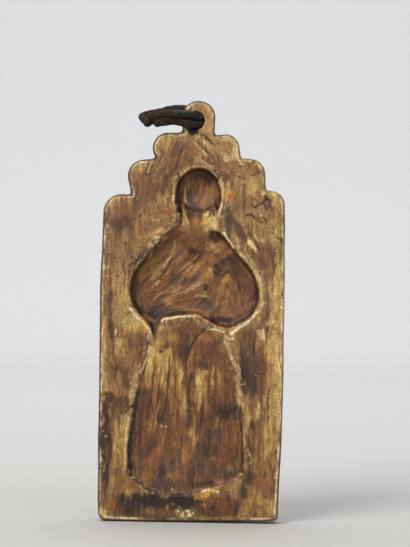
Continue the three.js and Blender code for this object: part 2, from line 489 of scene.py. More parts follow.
def between(first: Points, second: Points, part: Points) -> Points:
    """Return colours from the first, where the part is 0, to the second, where it is 1."""
    return first * (1 - part[:, None]) + second * part[:, None]


@dataclass(frozen=True)
class Gouge:
    """One gouge stroke: a long ellipsoid that reaches a depth below the face."""

    x: float
    z: float
    long: float
    wide: float
    round: float
    depth: float
    lean: float
    dip: float = 0.0

    def cut(self, x: Points, z: Points) -> Points:
        """Work out how deep the stroke cuts.

        Args:
            x: places across.
            z: places up.

        Returns:
            The depth at each place, negative where it doesn't cut.
        """
        turn = math.radians(self.lean)
        across = ((x - self.x) * math.cos(turn) - (z - self.z) * math.sin(turn)) / self.wide
        along = ((x - self.x) * math.sin(turn) + (z - self.z) * math.cos(turn)) / self.long
        inside = 1 - across ** 2 - along ** 2
        middle = self.depth - self.round - along * self.long * math.tan(math.radians(self.dip))
        return np.where(inside > 0, middle + self.round * np.sqrt(np.maximum(inside, 0)), -1.0)


@dataclass(frozen=True)
class Dab:
    """One dab of glaze: an oval, streaked along its length as the brush left it."""

    glaze: Glaze
    x: float
    z: float
    long: float
    wide: float
    strength: float = 1.0
    lean: float = 0.0

    def cover(self, x: Points, z: Points, seed: int) -> tuple[Points, Points]:
        """Work out what the dab covers.

        Args:
            x: places across.
            z: places up.
            seed: picks its streaks.

        Returns:
            The numbers of the places it reaches, and how strongly it covers each.
        """
        most = 1.7 * max(self.long, self.wide)
        reached = np.flatnonzero((np.abs(x - self.x) < most) & (np.abs(z - self.z) < most))
        turn = math.radians(self.lean)
        right, up = x[reached] - self.x, z[reached] - self.z
        across = (right * math.cos(turn) - up * math.sin(turn)) / self.wide
        along = (right * math.sin(turn) + up * math.cos(turn)) / self.long
        streaks = grain(x[reached], z[reached], 1.6, 16, self.lean, seed, 2)
        clouds = grain(x[reached], z[reached], 6, 9, self.lean, seed + 7, 3)
        reach = np.sqrt(across ** 2 + along ** 2) + 0.32 * streaks + 0.3 * clouds
        return reached, np.minimum(1, 1.15 * self.strength) * (1 - smooth_step(0.52, 1.24, reach))


@dataclass(frozen=True)
class Mark:
    """One line drawn in the clay or the glaze: a groove, a crack, a worn ridge."""

    glaze: Glaze
    points: tuple
    width: float
    strength: float = 1.0
    height: float = 0.0
    broken: float = 0.5

    def cover(self, x: Points, z: Points, seed: int) -> tuple[Points, Points, Points]:
        """Work out what the line covers.

        Args:
            x: places across.
            z: places up.
            seed: picks where it breaks off.

        Returns:
            The numbers of the places it reaches, how strongly it covers each, and how far it lifts each.
        """
        row = np.array(self.points, float)
        width = max(self.width, 0.75)
        most = 3 * width + 1
        low, high = row.min(0) - most, row.max(0) + most
        reached = np.flatnonzero((x > low[0]) & (x < high[0]) & (z > low[1]) & (z < high[1]))
        px, pz = x[reached], z[reached]
        px = px + 0.35 * grain(px, pz, 3, 3, 0, seed + 3, 1)
        apart = np.full(len(px), 1e9)
        curve = catmull_rom(self.points, False, 5) if len(row) > 2 else row
        for (sx, sz), (ex, ez) in zip(curve, curve[1:]):
            length = (ex - sx) ** 2 + (ez - sz) ** 2 + 1e-9
            part = np.clip(((px - sx) * (ex - sx) + (pz - sz) * (ez - sz)) / length, 0, 1)
            apart = np.minimum(apart, np.hypot(px - sx - part * (ex - sx), pz - sz - part * (ez - sz)))
        fall = np.exp(-(apart / width) ** 2)
        worn = np.clip(1 - self.broken + self.broken * 1.6 * grain(px, pz, 4, 4, 0, seed, 2), 0, 1)
        cover = np.minimum(1, 1.35 * self.strength * fall * worn)
        return reached, cover, self.height * fall * (0.4 + 0.6 * worn)


@dataclass(frozen=True)
class Lobe:
    """One round lobe of the stepped top: its arc, how far it runs on, and the notch after it."""

    x: float
    z: float
    radius: float
    past: float = 0.0
    notch: tuple | None = None


def head_outline(x: float, z: float, radius_x: float, radius_z: float) -> tuple:
    """Return twelve points round the oval head, clockwise from the top."""
    turns = np.radians(np.arange(0, 360, 30))
    return tuple((x + radius_x * math.sin(t), z + radius_z * math.cos(t)) for t in turns)


HEAD = Hollow(head_outline(3.2, -61, 19.3, 22.9),
              wall=4.5, depth_top=11.5, depth_foot=11.5, top=-38, foot=-76)
NECK = Hollow(((3, -66), (18.5, -72), (19.4, -80), (21, -90), (3, -97), (-14, -87), (-13.6, -78), (-13, -70)),
              wall=4, depth_top=3.2, depth_foot=3.2, top=-70, foot=-95)
BUST = Hollow(((4, -88), (20.6, -90.8), (38.9, -110.5), (50.2, -125), (54.2, -142), (48.6, -157.2),
               (37, -165), (29.6, -168), (20, -166.4), (12.6, -162.6), (1.5, -158), (-20, -160.2),
               (-25, -163.6), (-28.6, -170), (-31.2, -175.4), (-33.4, -170.4), (-38.6, -163), (-46.4, -154),
               (-51.5, -138.5), (-46.8, -121.5), (-30, -100.5), (-13.6, -84.4)),
              wall=5, depth_top=8.6, depth_foot=8.6, top=-86, foot=-165)
SKIRT = Hollow(((-4, -168), (25.6, -172), (30.5, -186), (37.6, -212), (42.4, -250), (43.9, -277),
                (39.5, -291), (13, -299.2), (-6, -304.8), (-26, -303), (-42.5, -293.5), (-50, -281),
                (-50, -252), (-45.6, -220), (-38.5, -194), (-32.4, -172)),
               wall=3, depth_top=1.2, depth_foot=5.2, top=-172, foot=-285)
BUST_GOUGES = (
    Gouge(-25.5, -117, 38, 13.5, 7, 11.4, 42),
    Gouge(-12, -128, 42, 17, 6, 11.8, 56),
    Gouge(9, -114, 27, 14, 5, 10.6, 30),
    Gouge(27, -136, 27, 21, 7, 12.2, -18),
    Gouge(-4, -149, 34, 11, 5, 11, 84),
)
HEAD_GOUGES = (Gouge(-11.5, -56, 15, 4.6, 10, 11.4, -4), Gouge(5.5, -56, 19, 13.5, 12.6, 12.6, 8))
NECK_GOUGES = (Gouge(-11.6, -77, 11, 2.3, 3, 6.5, -4),)
SKIRT_FLUTES = (
    Gouge(-36.5, -242, 66, 5.6, 2.2, 5.0, 9.5, 2.1),
    Gouge(-25, -240, 76, 6, 2.2, 5.0, 6.5, 2.1),
    Gouge(-11.5, -240, 80, 7.2, 2.4, 5.1, 3, 2.1),
    Gouge(3.2, -238, 74, 6.4, 2.2, 5.0, -1, 2.1),
    Gouge(16.5, -238, 76, 6.6, 2.4, 5.1, -4.5, 2.1),
    Gouge(30, -240, 70, 6, 2.2, 5.0, -7.5, 2.1),
)


@dataclass(frozen=True)
class Face:
    """What every place on the plaque's front is: how far inside each hollow, and inside the slab's edge."""

    x: Points
    z: Points
    head: Points
    neck: Points
    bust: Points
    skirt: Points
    edge: Points

    def under_neck(self) -> Points:
        """Return 1 where the bust slopes up softly into the neck, 0 elsewhere."""
        return smooth_step(-108, -93, self.z) * smooth_step(14, 10, self.x) * smooth_step(-15, -10, self.x)

    def above_neck(self) -> Points:
        """Return 1 between the neck's two sides, 0 beside them."""
        return smooth_step(20, 16, self.x) * smooth_step(-15.4, -13, self.x)

    def below_head(self) -> Points:
        """Return 1 where the head runs out softly into the neck, 0 elsewhere."""
        return smooth_step(-64, -77, self.z) * self.above_neck()

    def rims(self) -> tuple[tuple[Points, Points], ...]:
        """Return for each hollow how far inside it each place is, and where it has a rim at all."""
        return ((self.head, 1 - self.below_head()), (self.bust, 1 - self.under_neck()),
                (self.skirt, smooth_step(-174, -190, self.z) * smooth_step(-292, -284, self.z)))

    def hollows(self) -> tuple[Points, Points, Points]:
        """Return 1 inside the bust, the head and the skirt, in that order, and 0 outside each."""
        return tuple(smooth_step(-1.5, 1.5, inside) for inside in (self.bust, self.head, self.skirt))


@dataclass
class Plaque:
    """The slab with its hanging hole and sunk figure, and the glaze it wears."""

    thickness: float = 20.0
    edge_round: float = 1.8
    edge_steps: int = 3
    hole_radius: float = 7.2
    hole_sides: int = 72
    hole_lip: float = 1.7
    lug: tuple = (2.0, 2.3, 13.9)
    lug_foot_left: tuple = (-10.4, -9.9)
    lug_foot_right: tuple = (15.3, -11.8)
    lobes_left: tuple = (
        Lobe(-22.3, -22.6, 12.3, 32, (-32.0, -31.6)),
        Lobe(-41.3, -45.7, 13.2, 22, (-51.2, -61.2)),
        Lobe(-58.9, -75.6, 14.9),
    )
    lobes_right: tuple = (
        Lobe(23.8, -22.4, 11.8, 0, (36.6, -30.3)),
        Lobe(44.2, -43.0, 12.6, 0, (57.8, -56.6)),
        Lobe(61.7, -67.6, 11.4),
    )
    side_left: tuple = ((-75.2, -140), (-74.8, -212), (-74.4, -300))
    side_right: tuple = ((72.5, -300), (74.5, -238), (74.2, -112))
    foot: tuple = ((-36, -325.8), (50, -324.4))
    foot_left: tuple = (-68.2, -320.2, 5.4)
    foot_right: tuple = (69.3, -320.8, 2.7)
    front_band: float = 3.0
    lip_band: float = 0.6
    back_band: float = 0.8
    carving_blend: float = 0.7
    waves: float = 0.3
    field_strokes: float = 0.1
    bust_strokes: float = 0.3
    head_strokes: float = 0.22
    skirt_strokes: float = 0.26
    grit: float = 0.1
    rolled_rims: float = 0.38
    skin: float = 0.1
    face_skin: float = -0.4
    coarse_voxel: float = 1.3
    fine_voxel: float = 0.8
    most_triangles: int = 194000
    hidden_triangles: int = 32000
    rim: Points = field(default=None, repr=False)

    def outline(self) -> Points:
        """Draw the front outline.

        Returns:
            (n, 2) points, counter-clockwise from the lower left corner.
        """
        lx, lz, lr = self.foot_left
        rx, rz, rr = self.foot_right
        right, left = self.lobes_right[-1], self.lobes_left[-1]
        rows = [
            catmull_rom([(lx, lz - lr), *self.foot, (rx, rz - rr)], False, 30),
            arc(rx, rz, rr, -90, 0, 8),
            catmull_rom([(rx + rr, rz), *self.side_right, (right.x + right.radius, right.z)], False, 40),
        ]
        for lobe in reversed(self.lobes_right):
            if lobe.notch:
                rows.append(np.array([lobe.notch]))
            rows.append(arc(lobe.x, lobe.z, lobe.radius, -lobe.past, 90))
        rows += [np.array([self.lug_foot_right]), arc(*self.lug, -8, 188, 40), np.array([self.lug_foot_left])]
        for lobe in self.lobes_left:
            rows.append(arc(lobe.x, lobe.z, lobe.radius, 90, 180 + lobe.past))
            if lobe.notch:
                rows.append(np.array([lobe.notch]))
        rows.append(catmull_rom([(left.x - left.radius, left.z), *self.side_left, (lx - lr, lz)], False, 40))
        rows.append(arc(lx, lz, lr, 180, 270, 10))
        row = np.vstack(rows)
        apart = np.linalg.norm(row - np.roll(row, 1, axis=0), axis=1) > 0.05
        return row[apart]

    def slab(self) -> bpy.types.Object:
        """Build the uncarved slab.

        Returns:
            The slab, with rounded edges and its hanging hole.
        """
        shape = bmesh.new()
        back = shape.faces.new([shape.verts.new((x * MM, 0, z * MM)) for x, z in self.rim])
        grown = bmesh.ops.extrude_face_region(shape, geom=[back])["geom"]
        front = [part for part in grown if isinstance(part, bmesh.types.BMVert)]
        bmesh.ops.translate(shape, verts=front, vec=(0, -self.thickness * MM, 0))
        bmesh.ops.recalc_face_normals(shape, faces=shape.faces)
        rims = [e for e in shape.edges if abs(e.verts[0].co.y - e.verts[1].co.y) < 1e-6]
        bmesh.ops.bevel(shape, geom=rims, offset=self.edge_round * MM, segments=self.edge_steps, profile=0.5,
                        affect="EDGES", material=-1, clamp_overlap=False)
        slab = new_object("plaque_glazed", shape)
        bore = bmesh.new()
        turned = Matrix.Translation((0, -self.thickness / 2 * MM, 0)) @ Matrix.Rotation(math.pi / 2, 4, "X")
        bmesh.ops.create_cone(bore, cap_ends=True, segments=self.hole_sides, radius1=self.hole_radius * MM,
                              radius2=self.hole_radius * MM, depth=2 * self.thickness * MM, matrix=turned)
        cutter = new_object("bore_cutter", bore)
        cut = slab.modifiers.new("bore", "BOOLEAN")
        cut.object, cut.operation, cut.solver = cutter, "DIFFERENCE", "EXACT"
        self.remesh(slab, self.coarse_voxel)
        bpy.data.objects.remove(cutter)
        return slab

    def remesh(self, slab: bpy.types.Object, voxel: float) -> None:
        """Even the mesh out to quads of one size.

        Args:
            slab: the slab.
            voxel: the quads' size, millimetres.
        """
        even = slab.modifiers.new("even", "REMESH")
        even.mode, even.voxel_size, even.use_smooth_shade = "VOXEL", voxel * MM, True
        finished_mesh(slab)

    def face(self, places: Points) -> Face:
        """Measure where each place lies against the hollows and the slab's edge.

        Args:
            places: (n, 3) places on the mesh, metres.

        Returns:
            Where they lie.
        """
        x, z = places[:, 0] / MM, places[:, 2] / MM
        inside = [depth_inside(hollow.curve(), x, z) for hollow in (HEAD, NECK, BUST, SKIRT)]
        inside[3] += 1.7 * grain(x, z, 5, 5, 0, 92, 2) * smooth_step(-280, -290, z)
        return Face(x, z, *inside, depth_inside(self.rim, x, z))

    def fall(self, hollow: Hollow, inside: Points, face: Face) -> Points:
        """Work out how a hollow's wall falls from its rim to its floor.

        Args:
            hollow: the hollow.
            inside: how far inside it each place lies, millimetres.
            face: where each place lies.

        Returns:
            0 at the rim and outside, 1 where the floor is reached.
        """
        soft = {HEAD: 13 * face.below_head(), SKIRT: 10 * smooth_step(-190, -174, face.z),
                BUST: -2.5 * smooth_step(-106, -98, face.z) * smooth_step(11, 15, face.x)}
        width = hollow.wall + soft.get(hollow, 0)
        part = np.clip(inside / width, 0, 1)
        gentle = np.clip((width - hollow.wall) / 6, 0, 1)
        fall = np.sqrt(1 - (1 - part) ** 2) * (1 - gentle) + smooth_step(0, 1, part) * gentle
        if hollow is BUST:
            fall += (1 - fall) * face.under_neck()
            fall *= 1 - smooth_step(-104, -83, face.z) * smooth_step(15, 10, face.x)
        if hollow is HEAD:
            fall *= 1 - 0.72 * smooth_step(-58, -84, face.z) * face.above_neck()
        if hollow is SKIRT:
            fall *= 1 - 0.45 * smooth_step(-268, -296, face.z)
        return fall

    def depth(self, face: Face) -> Points:
        """Work out how deep the figure is sunk: each hollow's floor, then its gouge strokes, blended.

        Args:
            face: where each place lies.

        Returns:
            The depth at each place, millimetres.
        """
        deepest = np.zeros(len(face.x))
        for hollow, inside, gouges in ((HEAD, face.head, HEAD_GOUGES), (NECK, face.neck, NECK_GOUGES),
                                       (BUST, face.bust, BUST_GOUGES), (SKIRT, face.skirt, SKIRT_FLUTES)):
            fall = self.fall(hollow, inside, face)
            cut = hollow.floor(face.z) * fall
            for gouge in gouges:
                past = (gouge.cut(face.x, face.z) * fall - cut) / self.carving_blend
                more = np.log1p(np.exp(np.clip(past, -30, 30))) * self.carving_blend
                cut = cut + more * np.minimum(2.5 * fall, 1)
            cut = np.where(inside > 0, cut, 0)
            meet = np.log1p(np.exp(-np.abs(deepest - cut))) * smooth_step(0.5, 2.5, np.minimum(deepest, cut))
            deepest = np.maximum(deepest, cut) + meet
        return deepest

    def carve(self, slab: bpy.types.Object) -> None:
        """Sink the figure into the front and round the hole's lips.

        Args:
            slab: the uncarved slab.
        """
        places = places_of(slab.data)
        face = self.face(places)
        front = places[:, 1] < (-self.thickness + self.front_band) * MM
        places[:, 1] += np.where(front, self.depth(face), 0) * MM
        from_bore = np.hypot(face.x, face.z) - self.hole_radius
        short = np.clip(1 - from_bore / self.hole_lip, 0, 1)
        lip = self.hole_lip * (1 - np.sqrt(np.maximum(1 - short ** 2, 0)))
        on_front = places[:, 1] < (-self.thickness + self.lip_band) * MM
        on_back = places[:, 1] > -self.lip_band * MM
        places[:, 1] += np.where(on_front, lip, 0) * MM - np.where(on_back, lip, 0) * MM
        set_places(slab.data, places)
        self.remesh(slab, self.fine_voxel)

    def relief(self, face: Face) -> Points:
        """Work out the fine relief of hand work and glaze.

        Args:
            face: where each place lies.

        Returns:
            How far it stands out at each place, millimetres.
        """
        x, z = face.x, face.z
        bust, head, skirt = face.hollows()
        height = self.waves * grain(x, z, 18, 26, 0, 11, 2)
        height += self.field_strokes * grain(x, z, 2.6, 34, 0, 12) * (1 - bust) * (1 - head)
        across, along = Painting().flow(face)
        height += self.bust_strokes * grain(across, along, 3.4, 30, 0, 13) * bust
        height += self.head_strokes * grain(x, z, 3.2, 26, 0, 15) * head
        height += self.skirt_strokes * grain(across, along, 3.4, 44, 0, 16) * skirt
        height += self.grit * grain(x, z, 2.4, 2.4, 0, 17)
        ragged = 0.65 + 0.5 * grain(x, z, 5, 5, 0, 18, 2)
        for inside, rim in face.rims():
            height += self.rolled_rims * rim * ragged * np.exp(-((inside + 0.8) / 0.9) ** 2)
        return height

    def thin(self, slab: bpy.types.Object, hidden: Points) -> None:
        """Take triangles off the slab, first behind its front, then evenly until few enough are left.

        Args:
            slab: the carved slab.
            hidden: the numbers of the vertices behind its front.
        """
        behind = slab.vertex_groups.new(name="behind")
        behind.add(hidden.tolist(), 1.0, "REPLACE")
        fewer = slab.modifiers.new("thin_behind", "DECIMATE")
        fewer.ratio = 1 - (2 * len(hidden) - self.hidden_triangles) / triangles_of(slab.data)
        fewer.vertex_group = behind.name
        finished_mesh(slab)
        triangles = triangles_of(slab.data)
        fewer = slab.modifiers.new("thin", "DECIMATE")
        fewer.ratio = min(1.0, self.most_triangles / triangles)
        finished_mesh(slab)
        LOG.info("the plaque had %d triangles and keeps %d", triangles, len(slab.data.polygons))

    def shape(self) -> bpy.types.Object:
        """Build the carved slab with its fine relief.

        Returns:
            The slab, unpainted.
        """
        self.rim = self.outline()
        slab = self.slab()
        self.carve(slab)
        smooth = slab.modifiers.new("smooth", "SMOOTH")
        smooth.factor, smooth.iterations = 0.5, 2
        finished_mesh(slab)
        places = places_of(slab.data)
        face = self.face(places)
        flat_back = places[:, 1] > -self.back_band * MM
        normals = normals_of(slab.data)
        level = self.skin + (self.face_skin - self.skin) * np.abs(normals[:, 1])
        lift = np.where(flat_back, 0, self.relief(face) + Painting().lift(face) + level)
        set_places(slab.data, places + normals * lift[:, None] * MM)
        hidden = places[:, 1] > (self.front_band - self.thickness) * MM + self.depth(face) * MM
        self.thin(slab, np.flatnonzero(hidden))
        shade_smooth(slab.data)
        return slab

    def paint(self, slab: bpy.types.Object) -> None:
        """Store the glaze's colour and the brush's way on the mesh.

        Args:
            slab: the shaped slab.
        """
        places = places_of(slab.data)
        face = self.face(places)
        colour = Painting().colours(face, places[:, 1] / MM + self.thickness, normals_of(slab.data))
        opaque = np.column_stack([colour, np.ones(len(colour))])
        # The stored colour holds painted highlights and painted shade as well as the glaze's own colours.
        set_attribute(slab.data, "glaze", opaque, "FLOAT_COLOR", "color")
        across, along = Painting().flow(face)
        way = np.column_stack([across, along, 0.15 * places[:, 1] / MM]) * MM
        set_attribute(slab.data, "brush", way, "FLOAT_VECTOR", "vector")

    def build(self) -> bpy.types.Object:
        """Build, paint and dress the plaque, and tie it to its solid.

        Returns:
            The plaque.
        """
        slab = self.shape()
        self.paint(slab)
        slab.data.materials.clear()
        slab.data.materials.append(GlazeFinish().material())
        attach(slab, "root")
        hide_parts("plaque")
        return slab


# Dabs on the stepped top and the lug: glaze, x, z, length, width, strength, lean in degrees.
DABS_TOP = (
    (TAN, 2, -6, 16, 16, 0.7), (BROWN, -14, -34, 22, 9, 0.8, 20), (TAN, 20, -22, 14, 12, 0.6),
    (OCHRE, -24, -20, 9, 8, 0.8), (STRAW, 11, 2, 11, 4, 0.6), (SAND, -5, 11, 3, 5, 0.7, 60),
    # The cream dab on the lug is partly a painted highlight, and the soot dab below the hole is the cord's
    # painted shadow.
    (CREAM, -7, 10, 2.5, 2, 0.9), (SAND, -8, -8, 3, 3, 0.5), (SOOT, -4, -8.8, 3.2, 2.6, 0.9),
    (MAUVE, -16, -25, 7, 4, 0.6, 20), (RUST, -2, -24, 5, 4.5, 0.49), (MAUVE, -4, -34, 3, 2.2, 0.7),
    (MAUVE, 12, -33, 4, 8, 0.6), (MAUVE, 4, -37, 3, 6, 0.5), (MAUVE, -18, -43, 4, 3, 0.8),
    (UMBER, -25, -53, 8, 3, 0.55, 14), (MAUVE, -42, -62, 12, 8, 0.6), (BROWN, -38, -52, 14, 12, 0.6),
    (OCHRE, -46, -40, 5, 7, 0.6), (OCHRE, -20, -63, 16, 4, 0.8), (RUST, -22, -74, 5, 6, 0.45),
    (TAN, -16, -72, 9, 2, 0.6), (SAND, 32, -25, 8, 3, 0.6), (SAND, 27, -30, 2, 3, 0.6),
    (UMBER, 25, -46, 3, 4, 0.4), (BROWN, 31, -46, 12, 3, 0.6), (TAN, 36, -46, 12, 2.4, 0.5),
    (RUST, 48, -39, 3, 5, 0.32), (STRAW, 47, -54, 6, 7, 0.6), (RUST, 26.6, -59.8, 3.6, 4.6),
    (MAUVE, 28, -77, 14, 4.4, 0.9, -6), (BROWN, 38, -66, 9, 8, 0.6),
)
# Dabs on the field left of the figure.
DABS_LEFT = (
    (BROWN, -58, -84, 18, 16, 0.8), (RUSSET, -62, -66, 4, 9, 0.5), (OCHRE, -62, -75, 3, 7, 0.5),
    (MAUVE, -60, -85, 5, 10, 0.68), (OCHRE, -42, -92, 12, 10, 0.7), (TAN, -55, -93, 6, 4, 0.6),
    (TAN, -38, -79, 3, 5, 0.5), (UMBER, -43, -78, 2.4, 2.4, 0.68), (TAN, -27, -90, 3, 5, 0.7),
    (BROWN, -68, -105, 16, 5, 0.6), (TAN, -58, -135, 34, 8, 0.75), (STRAW, -57, -146, 12, 6, 0.6),
    (MAUVE, -67, -145, 26, 2.2, 0.77), (BROWN, -71, -140, 34, 2.2, 0.6),
    # The mauve and umber dabs along the bust's upper left outline are a painted shadow band.
    (MAUVE, -41, -108, 15, 3.4, 0.77, 42), (UMBER, -44, -113, 8, 1.6, 0.51, 38),
    (TAN, -57, -133, 3, 2.5, 0.3), (STRAW, -46, -166, 7, 11, 0.9), (SAND, -50, -161, 3, 6, 0.7, -20),
    (GOLD, -38, -171, 4, 5, 0.95), (UMBER, -66, -168, 11, 2.6, 0.68, -8), (RUST, -57, -173, 4, 6, 0.47),
    (BROWN, -52, -190, 14, 12, 0.7), (TAN, -59, -186, 7, 6, 0.7), (SAND, -60, -180, 3, 3, 0.5),
    (RUSSET, -40, -190, 16, 3.6, 0.85, 12), (MAUVE, -36, -178, 5, 2.6, 0.59),
    (MAUVE, -58, -203, 3.4, 11, 0.77), (UMBER, -53, -211, 9, 3.6, 0.64), (OCHRE, -62, -214, 7, 6, 0.7),
    (TAN, -45, -212, 12, 2.6, 0.7, 14), (TAN, -71, -196, 34, 2.4, 0.8), (UMBER, -66, -226, 4, 6, 0.72),
    (RUSSET, -57, -233, 9, 10, 0.9), (UMBER, -69, -262, 44, 5.4, 0.85), (RUSSET, -71, -246, 16, 2.5, 0.6),
    (RUSSET, -61, -240, 9, 3, 0.5, -14), (TAN, -66.5, -238, 7, 1.2, 0.5, -14),
    (TAN, -56.5, -272, 31, 7.2, 0.8), (STRAW, -54.5, -262, 22, 4.6, 0.45), (OCHRE, -58, -276, 24, 3.4, 0.5),
    (OCHRE, -56, -290, 10, 6, 0.6), (SAND, -50.5, -248, 9, 1.6, 0.5, 8), (SOOT, -66, -257, 3.4, 3, 0.77),
    (SAND, -67.6, -257, 1.4, 1.1, 0.6), (BROWN, -67, -270, 8, 1.4, 0.6), (SOOT, -68, -290, 14, 1.8, 0.51),
    (OCHRE, -56, -298, 6, 7, 0.7), (RUST, -54, -302, 2.5, 5, 0.34),
)
# Dabs on the field right of the figure.
DABS_RIGHT = (
    (TAN, 56, -72, 14, 12, 0.5), (UMBER, 61, -65, 3.4, 4.4, 0.44, 30), (BROWN, 56, -84, 6, 10, 0.5),
    (MAUVE, 37, -88, 14, 3.2, 0.72, -28), (MAUVE, 50, -108, 13, 3, 0.64, -36),
    (TAN, 33, -98, 8, 3.4, 0.5, -36), (STRAW, 41, -86, 7, 1.6, 0.6, -22),
    (SAND, 47, -99.6, 7.5, 2.6, 1, -33), (SAND, 50.5, -104, 4, 1.5, 0.9, -34),
    (SAND, 51, -94.6, 3.6, 1.3, 0.9, -24), (SAND, 55.4, -97, 1.6, 1.3, 0.8),
    (BROWN, 64, -106, 14, 7, 0.7, -10), (TAN, 48, -84, 8, 3, 0.5, -20), (TAN, 69, -82, 22, 3.6, 0.7),
    (BROWN, 58, -120, 16, 4, 0.6, -18), (MAUVE, 60.5, -150, 26, 3.2, 0.85, -2),
    (STRAW, 68, -138, 26, 4.6, 0.75), (TAN, 57.5, -136, 12, 2, 0.6, -6), (BROWN, 51, -172, 9, 10, 0.8),
    (SAND, 65, -164, 4, 6, 0.7), (SAND, 55, -169, 1.5, 3.4, 0.8), (SAND, 56.6, -173.6, 5, 2.9, 0.95, -10),
    (STRAW, 66.5, -206, 50, 6, 0.7), (SAND, 68, -188, 22, 3.4, 0.5), (MAUVE, 46, -200, 26, 8.4, 0.8, -2),
    (UMBER, 43, -203, 13, 4.6, 0.64), (UMBER, 48.5, -217, 10, 6, 0.65), (SLATE, 47, -216, 8, 4, 0.4),
    (RUSSET, 56, -200, 20, 3.6, 0.6), (MAUVE, 50, -232, 5, 4, 0.48), (SAND, 63, -226, 5, 4.5, 0.6, -8),
    (SAND, 56, -236, 7, 3.4, 0.7), (SAND, 59, -246, 5, 2.4, 0.5), (STRAW, 45, -239, 10, 3.2, 0.8),
    (UMBER, 50, -246, 5, 2.4, 0.72), (OCHRE, 57, -262, 18, 5, 0.8), (BROWN, 47, -266, 17, 3, 0.9),
    (UMBER, 51, -270, 20, 1.3, 0.68), (GOLD, 65, -256, 11, 4.4, 0.45), (STRAW, 65, -252, 8, 3, 0.4),
    (OCHRE, 64, -278, 9, 6, 0.7, 20), (RUST, 59, -292, 6, 10, 0.5), (BROWN, 61, -296, 5, 9, 0.5),
    (MAUVE, 62, -286, 2.6, 2.2, 0.56), (TAN, 60, -313, 9, 13, 0.75), (GOLD, 56, -308, 4, 9, 0.4),
    (UMBER, 47, -289, 8, 5.4, 0.72, -20), (UMBER, 44, -301, 6, 4.4, 0.64), (SOOT, 37.5, -314, 9, 3.4, 0.64),
)
# Dabs in the head, the neck and the bust.
DABS_FIGURE = (
    (UMBER, 8, -43, 4, 12, 0.6), (UMBER, 11, -49, 6, 3, 0.7), (UMBER, -13.5, -56, 14, 2.6, 0.7),
    (OCHRE, -8.2, -60, 13, 1.5, 0.95, 1), (TAN, -8, -58, 7, 0.8, 0.7, 1), (UMBER, -4, -60, 13, 2.3, 0.85),
    (SLATE, -4, -62, 8, 1.8, 0.5), (BROWN, 1.5, -63, 4, 2.4, 0.6), (RUSSET, 11, -62, 9, 7, 0.8, 20),
    (BROWN, 12, -65, 5, 5, 0.5, 30), (SOOT, 19.5, -66, 7, 2, 0.7, 8), (OCHRE, 9, -78, 3, 4, 0.6),
    # The russet and umber dabs at the head's foot here are partly the glaze's russet and partly painted shade
    # over the slope that faces the light.
    (RUSSET, 2, -73, 5, 12, 0.85), (UMBER, -3, -77, 4, 3, 0.8), (RUSSET, 6, -78, 5, 6, 0.8),
    (UMBER, 2, -75.5, 2.4, 11, 0.6), (UMBER, 13, -76, 2.6, 3, 0.7, -30), (OCHRE, 2, -85, 7, 11, 0.8),
    (TAN, -6.5, -79, 7, 2.4, 0.9, -10), (UMBER, -5, -75, 3, 1.8, 0.7),
    (STRAW, 13.5, -82.5, 6.5, 6.2, 0.8, 10), (CREAM, 15.5, -80.5, 5.5, 3, 0.7, 20),
    (STRAW, 9, -86, 3, 5, 0.6, 60), (SOOT, -11.8, -77, 10, 1.8, 1, -4), (BROWN, 0, -94, 9, 10, 0.8),
    (RUSSET, -14, -94, 8, 5, 0.5, 40), (UMBER, 18.5, -94.6, 4, 6.5, 0.75, 10),
    (OCHRE, 19, -101, 3, 6, 0.85, -20), (TAN, 12, -103, 6, 1.6, 0.6, -30),
    (UMBER, -1, -105.5, 3, 5, 0.85, 20), (OCHRE, -28, -114, 22, 7.5, 1, 40),
    (TAN, -31, -123, 9, 3.6, 0.5, 42), (RUSSET, -22, -105, 10, 3.4, 0.6, 42),
    (UMBER, -47.5, -136, 22, 3, 0.6, 4), (MAUVE, -39, -146, 9, 6, 0.5, 20),
    (SOOT, -34, -158, 5, 13, 0.9, 10), (SOOT, -46, -151, 7, 2.6, 0.7, -24),
    (UMBER, -22, -155, 4, 16, 0.7, 8), (UMBER, -10, -156, 2.4, 10, 0.8, 4),
    (MAUVE, -14, -127, 16, 5, 0.7, 46), (RUSSET, 2, -112, 5, 9, 0.7), (OCHRE, -2, -119, 9, 4.4, 0.85, 52),
    (TAN, -1, -120, 5, 2, 0.5, 52), (OCHRE, -14, -136, 6, 3, 0.8, 62), (TAN, -15, -137, 3, 1.4, 0.5, 62),
    (OCHRE, -14, -146, 8, 2.6, 0.9, 74), (OCHRE, -3, -136, 8, 2, 0.5, 66),
    (UMBER, -6, -130, 9, 1.6, 0.7, 60), (UMBER, -16, -141, 9, 1.4, 0.6, 66),
    (MAUVE, -26, -148, 6, 6, 0.6, 40), (OCHRE, 11, -127, 9, 2.2, 0.85, 8),
    # The two small sand dabs in the bust at (7, -143) and (9, -139.5) are painted glints.
    (OCHRE, 14, -113, 5, 2.2, 0.6, -30), (SAND, 7, -143, 1.5, 5, 0.95, -6),
    (SAND, 9, -139.5, 0.9, 2.4, 0.7), (OCHRE, 3, -149, 1.8, 6, 0.7, 4),
    (UMBER, 29, -113, 4.4, 10, 0.6, -20), (SLATE, 27, -115, 3, 5, 0.3, -10),
    (UMBER, 19, -122, 4, 5, 0.9, 30), (SLATE, 19, -123, 2.8, 4, 0.8, 30), (UMBER, 36, -121, 9, 4, 0.6, -40),
    (UMBER, 12, -133, 7, 1.4, 0.8, 20), (UMBER, 51, -137, 14, 2.4, 0.9, -6),
    (UMBER, 47, -154, 8, 2.4, 0.8, 36), (RUSSET, 45, -136, 8, 3, 0.9, -8),
    (OCHRE, 26, -129, 10, 1.8, 0.9, 18), (BROWN, 31, -142, 13, 7, 0.7, 10),
    (UMBER, 36, -130, 10, 1.6, 0.6, -26), (UMBER, 15, -152, 4, 9, 0.5, 30),
    (UMBER, 26, -161, 3.4, 17, 0.9, 4), (SOOT, 18, -161.5, 1.6, 8, 0.7, 4),
    (RUST, 12, -161.5, 2.4, 2.6, 0.8), (TAN, 7, -158.5, 1.2, 6, 0.8, -8),
)
